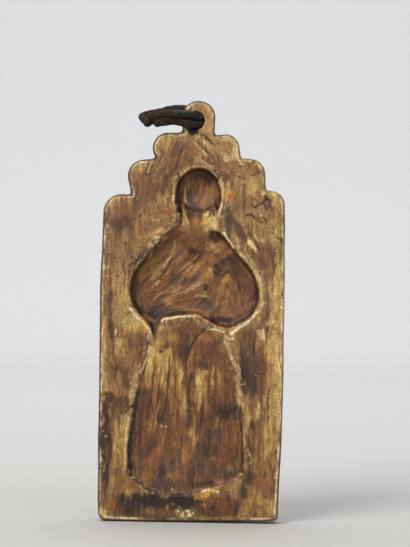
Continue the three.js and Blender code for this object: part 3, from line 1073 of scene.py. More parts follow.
# Dabs in the skirt.
DABS_SKIRT = (
    (RUSSET, -3, -169, 8, 18), (OCHRE, 20, -166.5, 1.8, 9, 0.7), (TAN, -27, -196, 26, 9.5, 0.8, 6),
    (STRAW, -21.5, -194, 8, 5, 0.7), (SAND, -34, -198, 14, 2.6, 0.7, 10), (TAN, -17, -177, 5, 5, 0.8),
    (TAN, -11, -208, 16, 4.4, 0.9, 2), (SAND, -8.5, -208, 9, 1.5, 0.7, 2),
    (MAUVE, -6, -184, 12, 6.5, 0.95, 8), (UMBER, -6.5, -188, 9, 3, 0.5, 4),
    (RUSSET, -21, -183, 3, 3.4, 0.7), (UMBER, -25.6, -188.2, 3, 2.4, 0.95, 30),
    (OCHRE, -1, -199, 16, 3, 0.9, 2), (RUST, 11, -174, 3.6, 8, 0.4), (OCHRE, 10, -175, 4, 7, 0.6),
    (RUSSET, 14, -187, 9, 9, 0.9), (MAUVE, 22, -180, 7, 4.4, 0.58), (UMBER, 8, -197.5, 4.4, 8, 0.58),
    (TAN, 8, -214, 14, 6.5, 0.95), (STRAW, 11, -205, 3, 5, 0.85, -20), (SAND, 4.5, -210.5, 3, 3, 0.9),
    (CREAM, 12, -203, 0.9, 3, 0.6, -14), (SAND, 18, -208, 7, 1.4, 0.85), (OCHRE, 25, -210, 14, 5, 0.7, -4),
    (RUSSET, 30, -215, 12, 2, 0.6, -8), (BROWN, -32, -209, 5, 6, 0.6), (UMBER, -39, -223, 5, 6.5, 0.61),
    (RUSSET, -38, -234, 12, 6, 0.85), (RUST, -29, -230, 7, 2, 0.29), (OCHRE, -32, -249, 5, 5.4, 0.85),
    (MAUVE, -21, -234, 17, 5.4, 0.9), (UMBER, -23, -241, 9, 4.4, 0.65), (SOOT, -23.5, -246, 4, 3.6, 0.65),
    (SAND, -24, -248.6, 0.8, 1, 0.8), (CREAM, -20, -249, 0.9, 1, 0.8), (TAN, -6, -233, 15, 3.2, 0.85),
    (OCHRE, -12, -224, 10, 2, 0.5), (UMBER, -1.5, -229, 4, 1.6, 0.58), (SOOT, 0.8, -229.5, 1.7, 1.7, 0.65),
    (MAUVE, 20, -228, 6, 8, 0.65), (RUSSET, 27, -222, 8, 5, 0.6), (UMBER, 28, -237, 9, 9, 0.75, 10),
    (SOOT, 31, -238, 5, 6, 0.36), (RUSSET, 14, -243, 8, 7, 0.85), (RUSSET, -2, -245, 8, 5, 0.6),
    (TAN, 3, -255, 6, 4.4, 0.95), (STRAW, 4, -261, 5, 2.4, 0.6, 10), (UMBER, 6, -253, 2, 2, 0.43),
    (RUSSET, -40, -262, 17, 7, 0.95), (BROWN, -13, -262, 15, 9, 0.85), (OCHRE, -12, -262, 7, 4, 0.5),
    (SLATE, -32, -266, 7, 2.4, 0.61, 52), (RUST, -28, -276, 9, 3.2, 0.36, 6),
    (SLATE, 17, -254.5, 4.4, 9.5, 0.68), (SLATE, 11, -268, 12, 4.4, 0.65, 12), (OCHRE, 30, -260, 7, 8, 0.6),
    (RUST, 34, -257, 12, 5, 0.4, -4), (RUSSET, 26, -271, 10, 9, 0.8), (TAN, 19, -274, 4, 2, 0.4),
    (MAUVE, 15, -285, 9, 14, 0.9), (SLATE, -23, -281, 11, 3, 0.61), (UMBER, -21.5, -286, 5, 3, 0.5),
    (SLATE, -13, -277.5, 1.8, 4, 0.58, -10), (RUST, -5, -283, 5, 4, 0.29), (MAUVE, -43, -284, 5, 5, 0.58),
    (MAUVE, -18, -297, 6, 20, 0.95), (UMBER, 1, -288, 10, 3, 0.58, 10), (UMBER, 12, -295, 3, 13, 0.65, -4),
    (TAN, 32.5, -281, 5, 2.6, 0.5), (SLATE, 35.5, -274.5, 2.4, 3.6, 0.58, -20),
    (SLATE, 37, -281, 5, 1.6, 0.43, -8), (MAUVE, 33.5, -287, 2.4, 4, 0.58),
    (OCHRE, 25, -293.5, 2.2, 4.4, 0.8, -10), (TAN, 33, -296.5, 2.6, 4, 0.7),
)
# Pale dabs laid over all of those and over the foot's.
DABS_LIGHT = (
    (STRAW, -25, -17, 6, 7, 0.6), (STRAW, -48, -38, 5, 8, 0.7), (STRAW, -66, -66, 6, 7, 0.6),
    (STRAW, 64, -62, 8, 9, 0.6), (STRAW, 66, -88, 14, 6, 0.5), (STRAW, 66, -134, 26, 6, 0.5),
    (STRAW, 46, -50, 6, 9, 0.5), (SAND, 28, -14, 3, 6, 0.5),
)
# Streaks of one glaze and strength after another: x, z, length, width, lean.
STREAKS = tuple((glaze, x, z, long, wide, strength, lean) for glaze, strength, rows in (
    (STRAW, 0.6, (
        (-33, -205, 18, 1.2, 9), (-28.5, -200, 16, 1.0, 6), (-24, -208, 12, 0.9, 5),
        (-21, -212, 14, 1.1, 4), (-15, -205, 13, 1.2, 3), (-8.6, -212, 16, 1.0, 2),
        (-5.4, -228, 15, 1.2, 0), (6, -220, 14, 1.3, 0), (12, -222, 16, 1.2, -2), (17.6, -212, 12, 0.9, -2),
        (22.5, -205, 14, 0.8, -3), (-27, -236, 16, 0.9, 5), (-16.5, -230, 11, 0.8, 3),
        (3.4, -243, 10, 1.0, 0), (66, -200, 26, 1.2, 0), (70, -215, 30, 1.0, 0), (62.5, -180, 14, 1.1, 0),
        (-60, -128, 20, 1.1, 0), (-54.5, -150, 14, 1.2, 0), (-71.6, -180, 24, 1.0, 0),
        (69, -130, 22, 1.2, 0), (-60, -265, 22, 1.1, 0), (-53, -280, 16, 1.2, 0), (61, -258, 16, 1.0, 0))),
    (RUSSET, 0.8, (
        (-30.6, -212, 15, 1.0, 8), (-13, -216, 18, 0.9, 3), (1.6, -208, 20, 1.1, 0),
        (15, -232, 18, 1.3, -2), (20.4, -216, 16, 1.1, -3), (27, -200, 20, 1.4, -5),
        (-36, -248, 20, 1.2, 6), (-10.5, -250, 18, 1.0, 2), (-18, -262, 16, 1.1, 2),
        (5.5, -274, 14, 1.0, 4), (24, -256, 14, 1.0, 0), (30.5, -268, 18, 1.0, 4), (-64, -190, 20, 1.2, 0),
        (-47, -200, 14, 1.2, 12), (57, -214, 24, 1.1, 0), (62.6, -232, 16, 0.8, 0),
        (-55.8, -120, 18, 0.9, 0), (65, -115, 22, 1.0, 0), (56, -270, 22, 1.0, 0), (68, -292, 14, 1.0, 0),
        (-59, -282, 14, 0.9, 0), (-51, -120, 14, 1.0, 8), (40, -60, 14, 1.2, 0), (-32, -60, 14, 1.4, 12))),
    (UMBER, 0.75, (
        (-27, -226, 14, 1.1, 6), (-33.5, -231, 12, 0.9, 7), (9, -240, 18, 0.9, 0),
        (23.4, -244, 14, 1.0, -2), (34.5, -226, 14, 1.0, -6), (-8, -268, 14, 0.9, 2),
        (-40.6, -252, 18, 1.0, 4), (15.4, -262, 16, 1.0, 4), (-29.5, -288, 10, 1.0, 4),
        (50.6, -196, 22, 0.9, 0), (40.5, -196, 16, 1.2, -4), (-70.4, -250, 22, 1.0, 0),
        (-64.4, -260, 18, 0.8, 0), (-61.4, -204, 12, 0.9, 0), (47.5, -262, 18, 0.8, 0))),
    (UMBER, 0.6, (
        (-37, -128, 20, 1.0, 38), (-18, -114, 18, 0.9, 44), (-8, -122, 20, 1.0, 50),
        (-22, -138, 18, 1.0, 52), (-30, -144, 14, 0.9, 48), (2, -128, 14, 0.9, 46), (-9, -143, 14, 0.8, 66),
        (-20, -150, 16, 0.9, 76), (5, -136, 12, 0.9, 60), (7, -108, 10, 1.0, 40), (-28, -106, 14, 0.9, 42))),
    (TAN, 0.55, (
        (-33, -119, 16, 1.0, 40), (-25, -119, 14, 0.9, 42), (-19.5, -121, 13, 0.8, 44),
        (-5, -116, 12, 1.2, 52), (-11, -130, 14, 0.9, 56), (-26, -141, 10, 0.9, 50),
        (-12, -140, 12, 1.0, 68), (3, -121, 11, 0.8, 40), (-4, -150, 12, 0.8, 80), (18, -102, 7, 1.0, -40),
        (12, -62, 8, 0.8, 12), (5.6, -55, 8, 0.7, 4))),
) for x, z, long, wide, lean in rows)
# Dabs laid last, over the streaks.
DABS_LAST = (
    # The first umber dab, across the head's foot, is painted shade over the slope that faces the light.
    (UMBER, 5, -69.4, 3, 13, 0.6), (UMBER, 18.6, -68, 6, 2.2, 0.7, -12), (STRAW, 12.6, -83, 7.5, 6.5, 0.85),
    (SAND, 15.4, -84.4, 5, 3.6, 0.8), (SAND, 9, -77.4, 2.4, 2.4, 0.5), (BROWN, -5, -164.6, 3.2, 17, 0.6),
    (BROWN, 21, -166.6, 2, 8, 0.7), (UMBER, -32, -170, 6, 1.8, 0.8, 8), (RUSSET, -9.6, 8.4, 2.4, 2.4, 0.6),
    # The soot dab below the hole is the cord's painted shadow.
    (TAN, 8, -222, 10, 4, 0.3), (GOLD, 12.4, -303.8, 9.5, 3, 0.9, 66), (SOOT, -3.4, -9.4, 3, 3.6),
    (OCHRE, -25, -111, 16, 6, 0.35, 42), (OCHRE, -20, -235, 15, 9, 0.25), (STRAW, 60, -90, 12, 9, 0.3),
    (RUSSET, 28, -150, 9, 12, 0.35), (RUST, 26.2, -60, 3, 3.4, 0.9), (GOLD, 26.6, -59.6, 3.4, 4.4, 0.75),
    # The umber dab at (3, -72) is painted shade on the head's foot.
    (BROWN, -4, -167, 5, 20, 0.45), (UMBER, 3, -72, 2.4, 8, 0.5), (SLATE, -3.4, -64, 6, 2.4, 0.5),
    (STRAW, -8, -58, 11, 1.5, 0.9), (TAN, -4.8, -52, 6, 1, 0.8), (OCHRE, 12, -59, 9, 7, 0.6, 20),
    (UMBER, 10.4, -46.5, 3.4, 4, 0.5), (OCHRE, 11, -71, 3, 8, 0.5, 20), (GOLD, 28, -59.8, 4.2, 6, 0.8),
    (RUSSET, 1, -78, 5, 5, 0.55), (SAND, 13, -80, 6, 5, 0.55), (RUSSET, -7, 10, 3, 3.4, 0.8),
    # The cream dab on the lug is partly a painted highlight inside its russet ring, and the soot dab below
    # the hole is the cord's painted shadow.
    (CREAM, -6.4, 10.2, 1.4, 1.6, 0.9), (SOOT, -2.6, -8.6, 2.8, 4.8, 0.9), (RUST, 28.4, -60, 3.4, 5, 0.6),
    (TAN, 14, -102, 6, 4.4, 0.6, -30), (TAN, -31.5, -125, 6, 3.4, 0.5, 40),
    (TAN, -14, -135.5, 5, 3, 0.45, 40), (GOLD, 13.4, -127, 6, 2.4, 0.55, 20),
    (GOLD, 25.5, -130, 9, 3, 0.4, 22), (TAN, -1, -120, 5, 3, 0.4, 40), (TAN, -19, -147, 3, 7, 0.4),
    (MAUVE, 4.7, -149, 5, 9, 0.5), (SLATE, -13, -282, 6, 8, 0.5), (MAUVE, 14, -276, 14, 5, 0.55, 28),
    (MAUVE, 24, -258, 12, 6, 0.4, 22), (OCHRE, -2, -268, 12, 5, 0.4, 14),
)
# Dabs along the foot, laid after the skirt's.
DABS_FOOT = (
    (UMBER, -30, -319, 5, 40, 0.6), (UMBER, 14, -318, 4, 24, 0.6), (UMBER, -10, -312, 8, 56, 0.78),
    (UMBER, -28, -312, 9, 44, 0.6), (SOOT, -32, -308, 4.6, 26, 0.75), (UMBER, -52, -314, 5, 8, 0.7),
    (SOOT, 0, -308.5, 4.6, 12, 0.95), (RUST, -47.5, -296, 4, 4, 0.36), (RUST, -62, -312, 5, 4.6, 0.45),
    (RUSSET, -57, -316, 3, 5, 0.6), (BROWN, -26, -319, 3, 16, 0.7), (TAN, -30, -317, 2.6, 4.6, 0.4),
    (TAN, -17.5, -315, 2.6, 1.4, 0.6), (TAN, -12.5, -312, 2, 3, 0.3), (STRAW, -70, -319, 3, 4, 0.9),
    (SOOT, -66, -319.5, 2.6, 1.2, 0.6, -40), (RUSSET, 22, -312, 8, 16, 0.95), (RUST, 20, -307, 3, 10, 0.3),
    (RUST, 28, -312, 4, 4, 0.3), (SOOT, 19.5, -314.5, 2.4, 2.6, 0.8), (TAN, 12, -313, 2.2, 3, 0.5),
    (GOLD, 14, -301.6, 2.6, 9, 1, -24), (GOLD, 8.5, -305, 2.2, 4, 0.9, -40),
    (STRAW, 16, -301, 1.6, 6, 0.5, -14), (STRAW, -2.5, -319, 4.4, 7.4, 0.85), (CREAM, -5.2, -320, 1.9, 1.6),
    (CREAM, -1, -316.5, 1.2, 2, 0.9), (CREAM, 1, -320.5, 1.9, 1.9, 0.9), (CREAM, -8.4, -317, 1.2, 1.2, 0.8),
    (UMBER, -3, -318, 1.2, 0.8, 0.8, 30), (UMBER, 2, -317.6, 1.2, 0.8, 0.7, -30),
    (UMBER, -7, -321.4, 1, 0.7, 0.7),
)
# Marks: glaze, the points drawn through, width, strength, height, and how broken.
MARKS = (
    (UMBER, ((-9, -22), (-13, -28), (-15, -35), (-16, -41)), 0.8, 1, -0.5, 0.3),
    (UMBER, ((5, -11), (11, -16), (16, -21)), 0.9, 1, -0.7, 0.3),
    (UMBER, ((1, -17), (6, -22), (12, -28)), 0.9, 1, -0.7, 0.3),
    (SAND, ((2, -13), (7, -17.5), (12, -22)), 0.9, 0.9, 0.4, 0.3),
    (SAND, ((-1, -18), (4, -23), (9, -28)), 0.8, 0.8, 0.35, 0.3),
    (UMBER, ((8, -11), (10, -14)), 0.8, 0.5, -0.2), (UMBER, ((12, -29), (22, -29)), 0.8, 0.5, -0.2),
    (UMBER, ((-33.2, -33.6), (-35.4, -38), (-37.4, -44.6)), 0.6, 0.8, -0.5, 0.2),
    (UMBER, ((-35.6, -33.6), (-38.8, -39), (-39.8, -43.4), (-37.4, -45)), 0.6, 0.8, -0.5, 0.2),
    (SAND, ((-34.6, -34.5), (-36.8, -38.6), (-38.2, -43)), 0.8, 0.8, 0.2, 0.2),
    (TAN, ((-27.5, -56), (-27.8, -68)), 0.5, 0.6, 0.15),
    (UMBER, ((36, -36), (40, -36.6), (44, -34.4)), 0.5, 0.8, -0.3),
    (SAND, ((36, -34.6), (40, -35)), 0.6, 0.7, 0.2),
    (UMBER, ((46, -44), (49, -43.4), (52, -41)), 0.5, 0.7, -0.3),
    (UMBER, ((46, -67.6), (49.4, -69.6), (52.6, -67), (55.4, -66.6), (57.4, -63.4), (60.6, -62.8)),
     0.95, 0.95, -0.5, 0.3),
    (UMBER, ((57.4, -59.6), (59, -63.6), (61.6, -64.4), (60.6, -68), (63, -69.6), (62.8, -72.6)),
     0.95, 0.95, -0.5, 0.3),
    (UMBER, ((57.6, -67.4), (58.4, -70), (60, -71.4)), 0.9, 0.9, -0.3, 0.2),
    (UMBER, ((42, -77), (45, -75.4), (47.6, -76.8), (49.6, -79), (52, -79), (53.6, -81.4), (56, -81.8)),
     0.9, 0.95, -0.5, 0.3),
    (UMBER, ((56.6, -78.6), (58.4, -80), (58, -82)), 0.9, 0.9, -0.3, 0.1),
    (UMBER, ((46, -91), (50, -98), (54, -105)), 0.9, 0.9, -0.5, 0.3),
    (MAUVE, ((38, -84), (41, -92), (44, -100)), 0.8, 0.8, -0.3),
    (SAND, ((-68.6, -98), (-68.8, -112), (-69, -130)), 0.5, 0.55, 0.15),
    (UMBER, ((-67.4, -110), (-67, -126)), 0.5, 0.5, -0.2),
    # A painted highlight fleck at the bust's top left.
    (CREAM, ((-31, -96), (-28, -95)), 0.6, 1, 0.3, 0.1),
    (UMBER, ((-56, -160.5), (-52, -159.4)), 0.5, 0.6, -0.2),
    (CREAM, ((-50.6, -153), (-46, -158.6), (-40, -164.6), (-35, -170), (-33.6, -173), (-35, -178.4)),
     1, 0.95, 0.4, 0.3),
    (UMBER, ((-67, -177.4), (-58, -177), (-50, -178)), 0.5, 0.7, -0.25),
    (CREAM, ((-61.6, -171), (-61.6, -176)), 0.5, 0.7, 0.15),
    (UMBER, ((-48, -232), (-54, -240)), 0.5, 0.6, -0.25),
    # Partly dark glaze pooled inside the skirt's left edge and partly painted shadow.
    (SOOT, ((-43.6, -222), (-45.6, -236), (-47.4, -250), (-48.8, -262), (-49, -276), (-48, -284)),
     2.1, 1, 0, 0.2),
    # Pale rim lines on the skirt's left edge: worn glaze and painted highlight.
    (CREAM, ((-34.4, -184), (-37.6, -196), (-41.4, -207), (-45.4, -222), (-47.8, -236)),
     0.9, 0.6, 0.3, 0.55),
    (SAND, ((-48, -236), (-50, -250), (-51.6, -264)), 1.1, 0.8, 0.4, 0.3),
    (SAND, ((-51.6, -262), (-52, -274), (-51, -284)), 0.8, 0.6, 0.3),
    (UMBER, ((-36.4, -198), (-39.6, -207), (-41.6, -214)), 0.7, 0.8, -0.3, 0.4),
    (UMBER, ((-17.6, -192), (-18.4, -206), (-19.6, -226), (-21, -240)), 0.8, 0.9, -0.6, 0.3),
    (UMBER, ((10, -169), (4, -176), (-1, -184), (-4.6, -196), (-5, -204)), 0.9, 1, -0.6, 0.2),
    (UMBER, ((0, -206), (-1.6, -222), (-2.4, -236)), 0.8, 1, -0.5, 0.3),
    (UMBER, ((9.6, -232), (8.6, -246), (8.4, -254)), 0.6, 0.6, -0.3),
    (SAND, ((27, -178), (30, -186), (33.6, -196), (36.4, -206), (38, -218), (39.6, -230)),
     1.5, 0.8, 0.35, 0.35),
    (UMBER, ((34.6, -201), (36, -207), (37, -212)), 0.5, 0.8, -0.3),
    (UMBER, ((40.6, -232), (41.6, -246), (42.4, -260), (42.8, -272), (42.2, -282)), 0.9, 0.9, -0.2, 0.3),
    (TAN, ((44, -248), (44.6, -262)), 0.7, 0.5, 0.1),
    (CREAM, ((52.4, -155), (46, -161.6), (39, -166.6), (32, -172.4)), 1.2, 1, 0.5, 0.35),
    (CREAM, ((38, -167), (42, -166.6), (44, -168)), 0.6, 0.8, 0.3),
    (CREAM, ((27, -174), (30, -177), (33, -176)), 0.7, 0.9, 0.4),
    (UMBER, ((28, -176), (29.4, -179), (32, -179.6)), 0.6, 0.7, -0.3),
    (SAND, ((28, -180), (31, -181)), 0.7, 0.7, 0.3),
    (CREAM, ((12, -169), (20, -169.6), (26, -171.4)), 0.55, 0.8, 0.3, 0.4),
    # Pale line on the bust's lower rim: worn glaze and painted highlight.
    (CREAM, ((-21, -162), (-14, -160), (-6, -159), (2, -158.6)), 0.7, 0.9, 0.4, 0.3),
    # Pale lines along the bust's right rim: worn glaze and painted highlight.
    (CREAM, ((24.6, -90.6), (27, -94.6), (29.6, -98.6), (32, -102.4)), 0.8, 0.95, 0.4, 0.2),
    (UMBER, ((27, -92), (33, -101), (38, -107)), 0.5, 0.5, -0.2),
    (SAND, ((38, -108), (45, -115), (50.6, -122), (54.4, -132), (56, -142)), 1.5, 0.8, 0.4, 0.35),
    (SAND, ((56.4, -142), (55.8, -150), (53, -155)), 1.1, 0.8, 0.3),
    (UMBER, ((60, -141), (63, -144), (67, -144.6)), 0.6, 0.8, -0.3),
    (CREAM, ((72.4, -144), (72.6, -151)), 0.7, 0.9, 0.2),
    (UMBER, ((70.8, -146), (73.4, -146)), 0.5, 0.8, -0.2),
    (UMBER, ((71, -152), (73, -156)), 0.5, 0.7, -0.2),
    # Pale lines on the head's right rim: worn glaze and painted highlight.
    (SAND, ((22, -46), (23, -54), (22.6, -62)), 0.8, 0.8, 0.3, 0.4),
    (SAND, ((22, -66), (20.6, -73), (20, -80)), 0.6, 0.7, 0.2, 0.4),
    (SAND, ((-16.6, -52), (-17.2, -60), (-17, -68), (-15.4, -76)), 0.6, 0.8, 0.3),
    (CREAM, ((-17.2, -62), (-17, -65)), 0.8, 1, 0.3, 0.1),
    (SAND, ((-10, -43.6), (-3, -38.8), (6, -37.4), (14, -39.6)), 0.6, 0.5, 0.3),
    (SAND, ((-9.4, -72), (-8.6, -78), (-9.4, -84)), 0.7, 0.7, 0.35, 0.4),
    (CREAM, ((-13, -76), (-12.4, -81)), 0.4, 0.8, 0.2),
    (SAND, ((-15.8, -98), (-16.6, -106), (-20.6, -113), (-24.6, -120)), 0.55, 0.8, 0.35, 0.3),
    (UMBER, ((-17.4, -112), (-21, -120), (-25.6, -126.4), (-29.4, -132)), 0.55, 0.9, -0.3, 0.2),
    # A painted glint in the bust.
    (CREAM, ((-28.2, -130.6), (-29.4, -133)), 0.55, 0.8, 0.3, 0.3),
    (SAND, ((-29, -102), (-24, -96.6), (-19, -92)), 0.6, 0.6, 0.3),
    (UMBER, ((-31, -96.8), (-24, -92), (-19, -87)), 0.7, 0.6, -0.2),
    (SAND, ((-36, -112), (-32, -105), (-27, -100.6)), 0.5, 0.45, 0.2),
    # Umber groove along the bust's left outline, part of the painted shadow band there.
    (UMBER, ((-48.8, -125), (-46, -116), (-41, -109)), 0.7, 0.8, -0.2, 0.3),
    (UMBER, ((9, -99), (13, -104), (17, -109)), 0.5, 0.7, -0.3),
    (UMBER, ((28, -122), (32, -126), (37, -133), (40, -141)), 0.6, 0.7, -0.25, 0.3),
    (UMBER, ((43, -124), (46, -132), (46.6, -144), (43, -154)), 0.6, 0.6, -0.25, 0.3),
    (OCHRE, ((30, -124), (34, -130), (36, -138)), 0.6, 0.5, 0.1),
    (TAN, ((22, -140), (26, -128)), 0.5, 0.5, 0.1),
    (CREAM, ((13, -120), (13.4, -121.6)), 0.55, 0.8, 0.3, 0.3),
    (UMBER, ((15, -152), (18, -138), (23, -127), (30, -122), (37, -127), (41, -138), (41, -150)),
     1, 0.6, -0.4, 0.4),
    (TAN, ((20, -150), (22, -138), (26, -129.6), (30, -127)), 0.9, 0.5, 0.3, 0.4),
    (UMBER, ((23, -152), (24.6, -140), (28.4, -131), (32, -131.6), (35, -140), (35, -150)),
     0.9, 0.6, -0.35, 0.4),
    (TAN, ((27.6, -150), (28.6, -141), (31, -136)), 0.9, 0.5, 0.3, 0.4),
    (RUSSET, ((31, -153), (31.4, -144), (32, -140)), 0.9, 0.6, -0.2, 0.4),
    (UMBER, ((46, -128), (49.4, -140), (47, -152), (38, -160)), 1.1, 0.6, -0.3, 0.4),
    (UMBER, ((4, -152), (12, -144), (17, -132), (19, -124)), 1.1, 0.6, -0.4, 0.4),
    (UMBER, ((6, -110), (14, -107), (22, -112), (26, -118)), 1.1, 0.5, -0.3, 0.4),
    (UMBER, ((-50.6, -280), (-50.6, -286), (-47.8, -288.4), (-47, -291), (-43.2, -291.2), (-41.8, -294.8),
     (-38.4, -295.6), (-37, -299.2), (-33.4, -300), (-31, -302.6), (-26.6, -302.4), (-24, -305)),
     0.8, 1, -0.5, 0.15),
    (SAND, ((-47, -290.4), (-44, -291)), 0.6, 0.8, 0.2, 0.3),
    (SAND, ((-41, -296.8), (-38.4, -299), (-34, -302)), 0.6, 0.7, 0.2),
    (SAND, ((-33, -303), (-29, -302.6)), 0.5, 0.8, 0.2),
    (SAND, ((-22, -305.6), (-20.6, -307)), 0.5, 0.8, 0.2),
    (SAND, ((-18.4, -305), (-17.8, -307.4)), 0.5, 0.8, 0.2),
    (SAND, ((40.6, -287), (42.4, -286.4)), 0.8, 0.8, 0.3, 0.2),
    (SAND, ((31.5, -293.5), (34.6, -291.4), (39, -290.8)), 0.5, 0.4, 0.15),
    (UMBER, ((56, -279), (57.4, -282), (57, -285)), 0.5, 0.8, -0.2),
    (UMBER, ((65, -279), (67, -280.6), (68.4, -284)), 0.5, 0.8, -0.2),
    (UMBER, ((61, -268), (64, -275), (66, -281)), 0.45, 0.5, -0.2),
    (CREAM, ((71.6, -264), (71.8, -278)), 0.9, 0.95, 0.2),
    (UMBER, ((69.8, -266), (70, -276)), 0.6, 0.8, -0.2),
    (CREAM, ((70.6, -284), (70.2, -300), (69.6, -318)), 0.7, 0.85, 0.1),
    (CREAM, ((50, -322.6), (58, -322.4), (66, -321.8)), 0.7, 0.85, 0.1, 0.4),
    (CREAM, ((-71, -320.6), (-66, -322.6), (-56, -323.2), (-40, -323.8)), 0.8, 0.85, 0.1),
    (SAND, ((-74, -128), (-74, -160), (-73.4, -200), (-73.4, -236)), 0.75, 0.45, 0.1, 0.6),
    (SAND, ((73, -90), (73.4, -140), (73.2, -200), (72.6, -250)), 0.75, 0.6, 0.1, 0.6),
    (UMBER, ((44, -304), (48, -302), (52, -303)), 0.5, 0.6, -0.2),
    (UMBER, ((60, -304.6), (66, -305.6)), 0.5, 0.5, -0.2),
    (UMBER, ((60, -188), (60.4, -202), (60, -218)), 0.45, 0.4, -0.2),
    (UMBER, ((52, -184), (52.6, -198), (52, -208)), 0.45, 0.4, -0.2),
    (UMBER, ((35, -252), (33.6, -262), (30, -274)), 0.5, 0.5, -0.2),
    (UMBER, ((38.6, -252), (38.8, -264), (38, -274)), 0.5, 0.7, -0.3),
    (UMBER, ((-8, -67.4), (-3, -70.8), (2, -72.8), (8, -72), (12, -71.4), (15.4, -73.6), (16.4, -77)),
     1.1, 0.85, -0.4, 0.3),
    (UMBER, ((-6.6, -70), (-5.8, -74), (-4.4, -78.4)), 1.2, 0.85, -0.3, 0.2),
    (UMBER, ((14, -73), (12.6, -76.6), (10.6, -79)), 1.1, 0.8, -0.3, 0.3),
    (UMBER, ((-31, -175), (-32, -169), (-35.4, -164)), 1.3, 0.9, 0, 0.1),
    (CREAM, ((10.6, -301), (13, -299.8), (16.5, -299.4), (20, -300.2), (24, -300.6)), 0.75, 0.8, 0.3, 0.2),
    # Pale line on the bust's lower left rim: worn glaze and painted highlight.
    (CREAM, ((-25, -163.2), (-22.6, -161.2), (-20, -160.6)), 0.8, 0.8, 0.3, 0.2),
    (UMBER, ((47, -62), (49.6, -63.4), (51, -66)), 0.75, 0.6, -0.2, 0.3),
    (UMBER, ((54, -61), (52.6, -58.6), (49.8, -58)), 0.75, 0.6, -0.2, 0.3),
    (UMBER, ((62, -90), (65.4, -91.4), (67.6, -94)), 0.8, 0.7, -0.2, 0.3),
    (UMBER, ((70.4, -94), (71.2, -96.4)), 0.9, 0.9, -0.3, 0.1),
    (UMBER, ((29, -41), (33, -44.6), (38, -45.6), (44, -49)), 0.75, 0.5, -0.2, 0.4),
    (UMBER, ((-14, -52), (-10.4, -46), (-4, -41.4)), 1, 0.6, -0.2, 0.3),
    (UMBER, ((-59, -99), (-55, -103), (-54, -108)), 0.75, 0.4, -0.2, 0.4),
    (UMBER, ((18, -29), (20.6, -33), (25, -35.4)), 0.75, 0.6, -0.2, 0.3),
    (UMBER, ((5, -30), (9.6, -34), (16, -36)), 0.75, 0.6, -0.2, 0.3),
    (SAND, ((6, -32), (10.6, -36), (15, -37.6)), 0.75, 0.5, 0.2, 0.3),
    (UMBER, ((-52, -41), (-47.4, -43.8), (-45, -48)), 0.75, 0.4, -0.2, 0.4),
    # Pale line on the head's right rim: worn glaze and painted highlight.
    (CREAM, ((19.6, -50), (21.8, -55.8), (22.6, -60), (22.4, -65.5), (21.2, -70.4), (19.8, -76)),
     0.55, 0.55, 0.15, 0.3),
)
# Beads of glaze, some set where glints show, their cream centres partly a painted highlight: x, z, radius,
# height.
BEADS_AND_GLINTS = (
    (54, -76, 1.7, 0.9), (-14, -300, 1.3, 0.8), (52.5, -206, 0.8, 0.5), (67, -105, 0.9, 0.5),
    (-70, -92, 0.8, 0.4), (-74, -123, 0.7, 0.3), (-66, -71.4, 0.7, 0.4), (69, -318, 0.9, 0.4),
    (-5.2, -320, 1.6, 0.9), (-1, -316.5, 1.2, 0.7), (1, -320.5, 1.6, 0.8), (-8.4, -317, 1.1, 0.6),
    (3.4, -318.6, 1, 0.6), (-7.4, -322, 0.9, 0.5), (-3, -323, 1, 0.5), (-50.6, -55, 1, 0.5),
    (-7.2, 9.6, 2, 0.9), (-17.5, -62.4, 0.8, 0.5), (-46, -290.6, 0.8, 0.5), (-23, -248.8, 0.8, 0.4),
    (-20, -249.2, 0.7, 0.4), (-4.5, -318, 0.9, 0.6), (0.8, -318.2, 0.8, 0.6), (5, -316.4, 0.9, 0.6),
    (-6.2, -315, 0.8, 0.5), (2.4, -314.8, 0.8, 0.5), (-1.2, -321.6, 0.8, 0.5), (4.6, -321.6, 0.8, 0.5),
    (-9.6, -320, 0.8, 0.5), (-8, -313.6, 0.7, 0.4),
)
# Pits: x, z, radius, depth.
PITS = (
    (-43, -78, 1.5, 0.9), (-25.6, -188.2, 1.7, 1), (0.8, -229.5, 1.2, 0.7), (-67, -257, 1.6, 0.5),
    (19.5, -314.5, 1.4, 0.4), (-31, -171.6, 1.8, 1.4),
)


